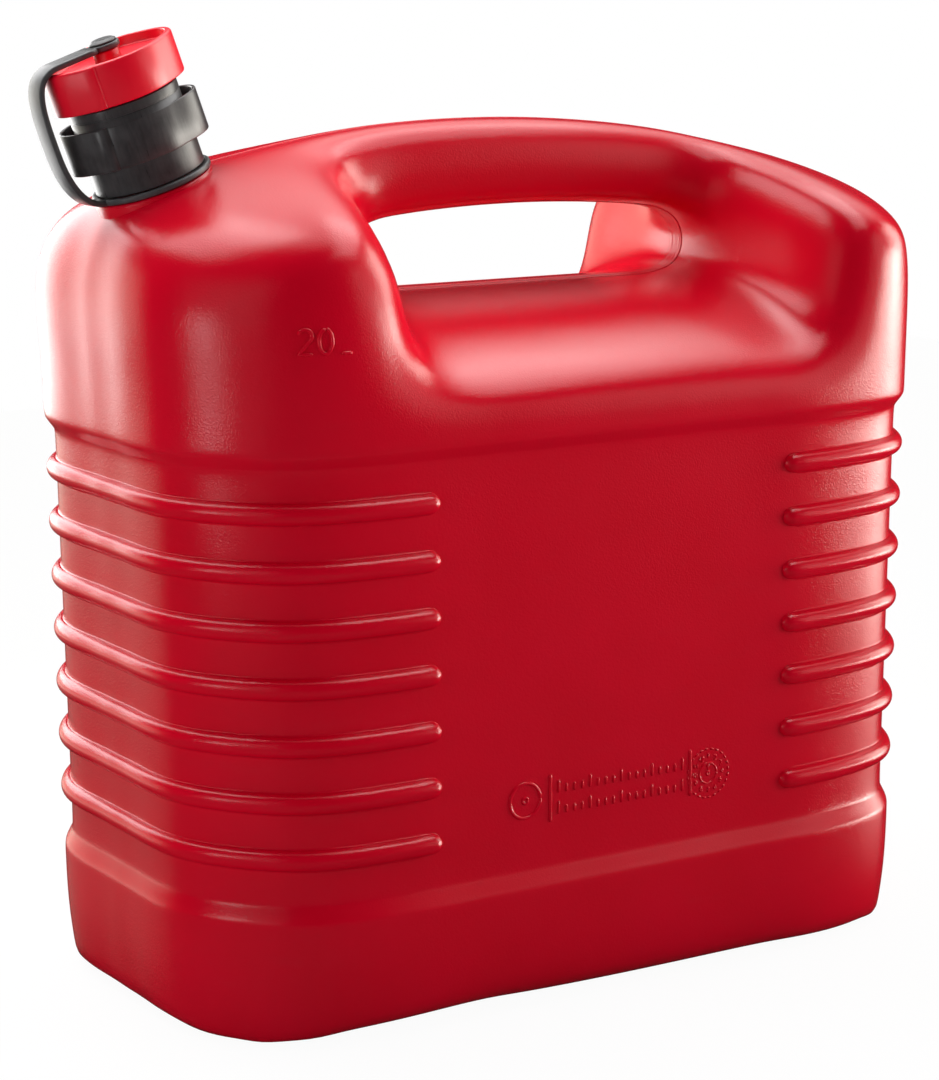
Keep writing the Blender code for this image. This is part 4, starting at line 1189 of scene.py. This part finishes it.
def bead(name, shell, strokes, radius, spacing=MARK_SPACING):
    """Half-round beads that follow (x, height) strokes on the front of the can."""
    curve = bpy.data.curves.new(name, "CURVE")
    curve.dimensions = "3D"
    curve.bevel_depth = radius
    curve.bevel_resolution = MARK_ROUNDNESS
    curve.use_fill_caps = True
    for stroke in strokes:
        points = []
        for first, second in zip(stroke, stroke[1:]):
            steps = max(1, int(math.dist(first, second) / spacing))
            points += [Vector(first).lerp(Vector(second), k / steps) for k in range(steps)]
        points.append(Vector(stroke[-1]))
        hits = [shell.ray_cast(Vector((p.x, MARK_RAY_Y, p.y)), Vector((0, 1, 0)))[0]
                for p in points]
        spline = curve.splines.new("POLY")
        spline.points.add(len(hits) - 1)
        for k, (point, hit) in enumerate(zip(spline.points, hits)):
            point.co = (hit.x, hit.y, hit.z, 1)
            point.radius = MARK_END_SHARE if k in (0, len(hits) - 1) else 1.0
    curve_object = new_piece(name, curve)
    bpy.context.view_layer.update()
    return cleaned(baked(curve_object))


def make_marks(shell, red):
    number = number_strokes(20, NUMBER_PLACE, NUMBER_HEIGHT)
    tick_x = NUMBER_PLACE[0] + NUMBER_HEIGHT * LEVEL_TICK_PLACE
    number.append([(tick_x, NUMBER_PLACE[1]), (tick_x + LEVEL_TICK_LENGTH, NUMBER_PLACE[1])])
    large = number + [arc(RING_PLACE, RING_RADIUS, 0, 360, 40)] + plate_ends()
    small = plate_ticks() + [arc(RING_PLACE, RING_RADIUS * RING_DOT_SHARE, 0, 360, 12)]
    mesh = joined("raised_marks", bead("large_marks", shell, large, MARK_BEAD),
                  bead("small_marks", shell, small, MARK_BEAD * SMALL_BEAD_SHARE),
                  bead("dial_marks", shell, dial_strokes(), MARK_BEAD * DIAL_BEAD_SHARE,
                       DIAL_SPACING))
    finish_piece("raised_marks", mesh, red, "red_moulded_plastic", "can")


# Lobed pieces on the neck

def lobe_height(share):
    """Height of the lobe, from 0 to 1, at a share of its way round."""
    if share < LOBE_START_SHARE:
        return 0.0
    if share < LOBE_PEAK_SHARE:
        along = (share - LOBE_START_SHARE) / (LOBE_PEAK_SHARE - LOBE_START_SHARE)
        return (1 - math.cos(math.pi * along)) / 2
    if share < LOBE_NOSE_SHARE:
        along = (share - LOBE_PEAK_SHARE) / (LOBE_NOSE_SHARE - LOBE_PEAK_SHARE)
        return 1 - (1 - NOSE_RISE_SHARE) * (1 - math.cos(math.pi * along)) / 2
    along = (share - LOBE_NOSE_SHARE) / (1 - LOBE_NOSE_SHARE)
    return NOSE_RISE_SHARE * math.sqrt(max(0.0, 1 - along ** 2))


def lobed_ring(small, large, nose_angle, inset, height):
    shares = [LOBE_NOSE_SHARE * k / LOBE_POINTS for k in range(LOBE_POINTS + 1)]
    shares += NOSE_SHARES
    ring = []
    for lobe in range(LOBE_COUNT):
        for share in shares:
            radius = small + (large - small) * lobe_height(share) - inset
            angle = nose_angle + (lobe + share) * 2 * math.pi / LOBE_COUNT
            ring.append((radius * math.cos(angle), radius * math.sin(angle), height))
    return ring


def make_collar(grey):
    """Sleeve with its wings, and a narrower tube with a thread for the cap."""
    groove = [WING_TOP + rise for rise in NUT_GROOVE_RISES]
    nut = turned("nut", [
        (NUT_BORE, 0.0, NUT_INNER_FILLET), (NUT_RADIUS, 0.0, NUT_FOOT_FILLET),
        (NUT_RADIUS, WING_BOTTOM + NUT_SLEEVE_RISE, 0), (NUT_RADIUS, groove[0], 0),
        (NUT_GROOVE_RADIUS, groove[1], NUT_GROOVE_FILLET),
        (NUT_GROOVE_RADIUS, groove[2], NUT_GROOVE_FILLET),
        (NUT_RADIUS, groove[3], NUT_GROOVE_FILLET), (NUT_RADIUS, NUT_SHOULDER, NUT_EDGE_FILLET),
        (NUT_CORE, NUT_SHOULDER, NUT_INNER_FILLET), (NUT_CORE, NUT_TOP, NUT_EDGE_FILLET),
        (NUT_TUBE_BORE, NUT_TOP, NUT_EDGE_FILLET),
        (NUT_TUBE_BORE, NUT_FLANGE_BOTTOM, NUT_INNER_FILLET),
        (NUT_BORE, NUT_FLANGE_BOTTOM, NUT_INNER_FILLET), (NUT_BORE, NUT_BORE_FOOT, 0)])

    # (inset, height) of the wings' section, from the outer face over the top and back below
    edge = WING_EDGE
    cut = edge * WING_EDGE_SHARE
    over = [(0.0, WING_TOP - edge), (cut, WING_TOP - cut), (edge, WING_TOP),
            (WING_WALL - edge, WING_TOP), (WING_WALL - cut, WING_TOP - cut),
            (WING_WALL, WING_TOP - edge)]
    below = [(WING_WALL, WING_BOTTOM + edge), (WING_WALL - cut, WING_BOTTOM + cut),
             (WING_WALL - edge, WING_BOTTOM), (edge, WING_BOTTOM), (cut, WING_BOTTOM + cut)]
    section = [(0.0, WING_BOTTOM + edge)] + over + below
    wings = loft("wings", [lobed_ring(NUT_RADIUS + FACE_GAP, WING_RADIUS, WING_NOSE_ANGLE, *place)
                           for place in section], closed=True)
    turns = helix(NUT_THREAD_RADIUS - CAP_THREAD_CORE, NUT_SHOULDER + CAP_THREAD_FOOT,
                  NUT_TOP - CAP_THREAD_HEAD, CAP_THREAD_PITCH / 2)
    screw = swept("cap_screw", [turns], thread_section(CAP_THREAD_DEPTH, CAP_THREAD_HALF_WIDTH),
                  grey)
    finish_piece("winged_collar", joined("winged_collar", nut, wings, screw), grey,
                 "grey_nut_plastic", "nut", "collar_nut")


def make_cap(red):
    """Two-lobed cap with a dished top and a boss in its middle; its bore stays plain."""
    top = CAP_BOTTOM + CAP_HEIGHT
    floor = CAP_INSIDE_TOP + CAP_CEILING
    bore = NUT_THREAD_RADIUS + THREAD_GAP
    boss_top = top + CAP_BOSS_RISE
    stud_bore = RIVET_SHANK + FACE_GAP
    stud_floor = boss_top - RIVET_DEPTH - FACE_GAP

    def lobed(inset, height, edge):
        return [lobed_ring(CAP_RADIUS, CAP_LOBE_RADIUS, CAP_NOSE_ANGLE, inset + across, height + up)
                for across, up in edge]

    def circles(radius, height, edge=((0.0, 0.0),)):
        return [lobed_ring(radius + across, radius + across, CAP_NOSE_ANGLE, 0.0, height + up)
                for across, up in edge]

    mesh = loft("screw_cap", (
        circles(CAP_CENTRE_RADIUS, CAP_INSIDE_TOP) + circles(bore, CAP_INSIDE_TOP, CAP_BORE_EDGE)
        + circles(bore, CAP_BOTTOM, CAP_BORE_LEAD) + lobed(0.0, CAP_BOTTOM, CAP_FOOT_EDGE)
        + lobed(0.0, top, CAP_OUTER_EDGE) + lobed(CAP_RIM, top, CAP_RIM_EDGE)
        + lobed(CAP_RIM, floor, CAP_DISH_FILLET)
        + circles(CAP_BOSS_RADIUS, floor, CAP_BOSS_FILLET)
        + circles(CAP_BOSS_RADIUS, boss_top, CAP_BOSS_EDGE) + circles(stud_bore, boss_top)
        + circles(stud_bore, stud_floor) + circles(CAP_CENTRE_RADIUS, stud_floor)))
    finish_piece("screw_cap", mesh, red, "red_cap_plastic", "cap", "closing_cap")


# Strap and rivet

def strap_eye_bottom():
    return CAP_BOTTOM + CAP_HEIGHT + CAP_BOSS_RISE + FACE_GAP


def bezier(start, start_pull, end_pull, end, count):
    points = []
    for k in range(1, count + 1):
        t = k / count
        u = 1 - t
        points.append(start * u ** 3 + start_pull * 3 * u ** 2 * t + end_pull * 3 * u * t ** 2
                      + end * t ** 3)
    return points


def strap_line():
    """(x, height) along the middle of the strap in the neck's frame, from its eye to its ring."""
    eye = strap_eye_bottom() + STRAP_THICKNESS / 2
    ring = SEAT_TOP + FACE_GAP + STRAP_THICKNESS / 2
    start = Vector((-STRAP_STRAIGHT, eye))
    widest = Vector((-STRAP_REACH, STRAP_WIDEST))
    foot = Vector((-(STRAP_RING_INNER + STRAP_RING_OUTER) / 2, ring))
    upper = bezier(start, start - Vector((STRAP_TOP_PULL, 0)),
                   widest + Vector((0, STRAP_UPPER_PULL)), widest, STRAP_UPPER_POINTS)
    lower = bezier(widest, widest - Vector((0, STRAP_LOWER_PULL)),
                   foot - Vector((STRAP_FOOT_PULL, 0)), foot, STRAP_LOWER_POINTS)
    level = [Vector((-STRAP_STRAIGHT * k / STRAP_LEVEL_POINTS, eye))
             for k in range(2, STRAP_LEVEL_POINTS + 1)]
    return level + upper + lower


def band_ring(point, normal):
    """Rounded cross-section of the band at a point of its line."""
    flat_width = STRAP_WIDTH / 2 - STRAP_EDGE
    flat_height = STRAP_THICKNESS / 2 - STRAP_EDGE
    section = []
    for across, up in ((1, 1), (-1, 1), (-1, -1), (1, -1)):
        for angle in even_steps(0.0, math.radians(90), STRAP_EDGE_POINTS):
            turn = angle if across * up > 0 else math.radians(90) - angle
            y = across * (flat_width + STRAP_EDGE * math.cos(turn))
            rise = up * (flat_height + STRAP_EDGE * math.sin(turn))
            section.append((point.x + normal.x * rise, y, point.y + normal.y * rise))
    return section


def washer(name, inner, outer, bottom, inner_fillet, outer_fillet):
    """A flat ring as thick as the strap."""
    top = bottom + STRAP_THICKNESS
    return turned(name, [
        (inner, (bottom + top) / 2, 0), (inner, bottom, inner_fillet),
        (outer, bottom, outer_fillet), (outer, top, outer_fillet), (inner, top, inner_fillet)])


def make_strap(grey):
    line = strap_line()
    rings = []
    for i, point in enumerate(line):
        tangent = tangent_at(line, i)
        rings.append(band_ring(point, Vector((-tangent.y, tangent.x))))
    band = loft("strap_band", rings)
    ring = washer("strap_ring", STRAP_RING_INNER, STRAP_RING_OUTER, SEAT_TOP + FACE_GAP,
                  STRAP_RING_FILLET, STRAP_EDGE)
    eye = washer("strap_eye", RIVET_NECK + FACE_GAP, STRAP_EYE_RADIUS, strap_eye_bottom(),
                 STRAP_HOLE_FILLET, STRAP_EYE_FILLET)
    strap = new_piece("cap_tether", joined("cap_tether", band, ring, eye))
    strap.data.materials.append(grey)
    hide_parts("cap_strap")
    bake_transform(strap)


def make_rivet(grey):
    foot = CAP_BOTTOM + CAP_HEIGHT + CAP_BOSS_RISE
    head = strap_eye_bottom() + STRAP_THICKNESS + FACE_GAP
    top = head + RIVET_HEAD_HEIGHT
    mesh = turned("stud", [
        (0.0, top, 0), (RIVET_DOME_RADIUS, top, RIVET_DOME_FILLET),
        (RIVET_HEAD_RADIUS, head + RIVET_HEAD_EDGE, RIVET_HEAD_FILLET),
        (RIVET_HEAD_RADIUS, head, RIVET_UNDER_FILLET), (RIVET_NECK, head, 0),
        (RIVET_NECK, foot + FACE_GAP, 0), (RIVET_SHANK, foot + FACE_GAP, 0),
        (RIVET_SHANK, foot - RIVET_DEPTH, RIVET_TIP_FILLET), (0.0, foot - RIVET_DEPTH, 0)])
    finish_piece("strap_stud", mesh, grey, "rivet_plastic", "swivel", "strap_rivet")


# Stage, lights and camera

def make_stage():
    """A floor that the camera sees as white but for the can's shadow, and that nothing reflects."""
    mesh = bpy.data.meshes.new("studio_floor")
    size = FLOOR_HALF_SIZE
    corners = [(-size, -size, 0), (size, -size, 0), (size, size, 0), (-size, size, 0)]
    mesh.from_pydata(corners, [], [(0, 1, 2, 3)])
    floor = new_piece("studio_floor", mesh)
    floor.location.z = -FLOOR_GAP
    floor.visible_glossy = False
    material = bpy.data.materials.new("studio_white")
    material.use_nodes = True
    tree = material.node_tree
    shader = tree.nodes["Principled BSDF"]
    fill(tree, shader, {"Base Color": FLOOR_GREY, "Roughness": FLOOR_ROUGHNESS})
    glow = add_node(tree, "ShaderNodeEmission", {}, {"Strength": FLOOR_GLOW})
    rays = add_node(tree, "ShaderNodeLightPath")
    share = add_node(tree, "ShaderNodeMath", {"operation": "MULTIPLY"},
                     {0: rays.outputs["Is Camera Ray"], 1: FLOOR_GLOW_SHARE})
    mix = add_node(tree, "ShaderNodeMixShader", {},
                   {0: share.outputs[0], 1: shader.outputs[0], 2: glow.outputs[0]})
    fill(tree, tree.nodes["Material Output"], {"Surface": mix.outputs[0]})
    mesh.materials.append(material)


def make_world():
    """White to the camera; to all else a dim studio with bright windows and a softbox overhead."""
    world = bpy.data.worlds.new("studio")
    bpy.context.scene.world = world
    world.use_nodes = True
    tree = world.node_tree
    tree.nodes.clear()

    def node(kind, settings, *inputs):
        given = {place: value for place, value in enumerate(inputs) if value is not None}
        return add_node(tree, kind, settings, given).outputs

    def math_node(operation, *inputs):
        return node("ShaderNodeMath", {"operation": operation}, *inputs)[0]

    def smooth(value, low, high):
        settings = {"interpolation_type": "SMOOTHSTEP"}
        return node("ShaderNodeMapRange", settings, value, low, high)[0]

    def added(first, second):
        return node("ShaderNodeVectorMath", {"operation": "ADD"}, first, second)[0]

    def tinted(level, share, colour):
        scaled = [channel * level for channel in colour]
        return node("ShaderNodeVectorMath", {"operation": "SCALE"}, scaled, None, None, share)[0]

    toward = node("ShaderNodeTexCoord", {})["Generated"]
    x, y, height = node("ShaderNodeSeparateXYZ", {}, toward)
    azimuth = math_node("MULTIPLY", math_node("ARCTAN2", y, x), 180 / math.pi)
    dot = {"operation": "DOT_PRODUCT"}
    overhead = node("ShaderNodeVectorMath", dot, toward, CEILING_AIM)["Value"]
    light = tinted(CEILING_LEVEL, smooth(overhead, *CEILING_EDGE), CEILING_COLOUR)
    light = added(light, (DIM_LEVEL,) * 3)
    for middle, half_width, soft, lowest, full, highest, level, colour in WINDOWS:
        turned_by = math_node("SUBTRACT", azimuth, middle)
        away = math_node("ABSOLUTE", math_node("WRAP", turned_by, 180.0, -180.0))
        across = smooth(away, half_width + soft, half_width)
        below_top = smooth(height, highest + WINDOW_TOP_FADE, highest)
        above = math_node("MULTIPLY", smooth(height, lowest, full), below_top)
        light = added(light, tinted(level, math_node("MULTIPLY", across, above), colour))
    lit = node("ShaderNodeBackground", {}, light, 1.0)[0]
    seen = node("ShaderNodeBackground", {}, (1, 1, 1, 1), 1.0)[0]
    rays = node("ShaderNodeLightPath", {})
    mixed = node("ShaderNodeMixShader", {}, rays["Is Camera Ray"], lit, seen)[0]
    node("ShaderNodeOutputWorld", {}, mixed)


def softbox(name, place, aim, width, height, level, reflected=True, lighting=True):
    """An area light of an even level at a place, aimed at a point."""
    data = bpy.data.lights.new(name, "AREA")
    data.shape = "RECTANGLE"
    data.size = width
    data.size_y = height
    data.energy = level * math.pi * width * height
    lamp = new_piece(name, data)
    lamp.location = place
    lamp.rotation_euler = (Vector(place) - Vector(aim)).to_track_quat("Z", "Y").to_euler()
    lamp.visible_glossy = reflected
    lamp.visible_diffuse = lighting
    lamp.visible_camera = False


def make_lights():
    for lamp in LAMPS:
        softbox(*lamp)
    for number, (x, y, width) in enumerate(END_CARDS, 1):
        aim = (x + END_CARD_AIM_STEP[0], y + END_CARD_AIM_STEP[1], END_CARD_AIM_Z)
        softbox("end_card_" + str(number), (x, y, END_CARD_Z), aim, width, END_CARD_HEIGHT,
                END_CARD_LEVEL)


def make_camera():
    data = bpy.data.cameras.new("camera")
    camera = new_piece("camera", data)
    forward = Vector((math.sin(CAMERA_YAW) * math.cos(CAMERA_PITCH),
                      math.cos(CAMERA_YAW) * math.cos(CAMERA_PITCH), -math.sin(CAMERA_PITCH)))
    right = Vector((math.cos(CAMERA_YAW), -math.sin(CAMERA_YAW), 0.0))
    up = right.cross(forward)
    turn = Matrix((right, up, -forward)).transposed()
    camera.matrix_world = Matrix.Translation(CAMERA_PLACE) @ turn.to_4x4()
    data.sensor_fit = "HORIZONTAL"
    data.sensor_width = SENSOR_WIDTH
    data.lens = CAMERA_FOCUS_PX * SENSOR_WIDTH / PHOTO_WIDTH
    data.shift_x = -(CAMERA_CENTRE_PX[0] - PHOTO_WIDTH / 2) / PHOTO_WIDTH
    data.shift_y = (CAMERA_CENTRE_PX[1] - PHOTO_HEIGHT / 2) / PHOTO_WIDTH
    data.clip_start = CAMERA_CLIP_START
    bpy.context.scene.camera = camera


def paint_node(name, material):
    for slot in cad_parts[name].material_slots:
        slot.material = material


def main():
    red = moulded_red()
    nut_grey = satin_grey("nut_grey", NUT_GREYS, roughness=0.24)
    strap_grey = satin_grey("strap_grey", STRAP_GREYS, roughness=0.30)
    spout_grey = satin_grey("spout_grey", SPOUT_GREYS, roughness=0.42)
    rubber = seal_rubber()
    shell = make_can(red)
    make_marks(shell, red)
    make_collar(nut_grey)
    make_cap(glossy_red())
    make_strap(strap_grey)
    make_rivet(strap_grey)
    paint_node("pouring_spout", spout_grey)
    paint_node("neck_seal", rubber)
    paint_node("cap_seal", rubber)
    make_stage()
    make_world()
    make_lights()
    make_camera()
    bpy.context.scene.view_settings.view_transform = "Standard"


main()
bpy.context.view_layer.update()
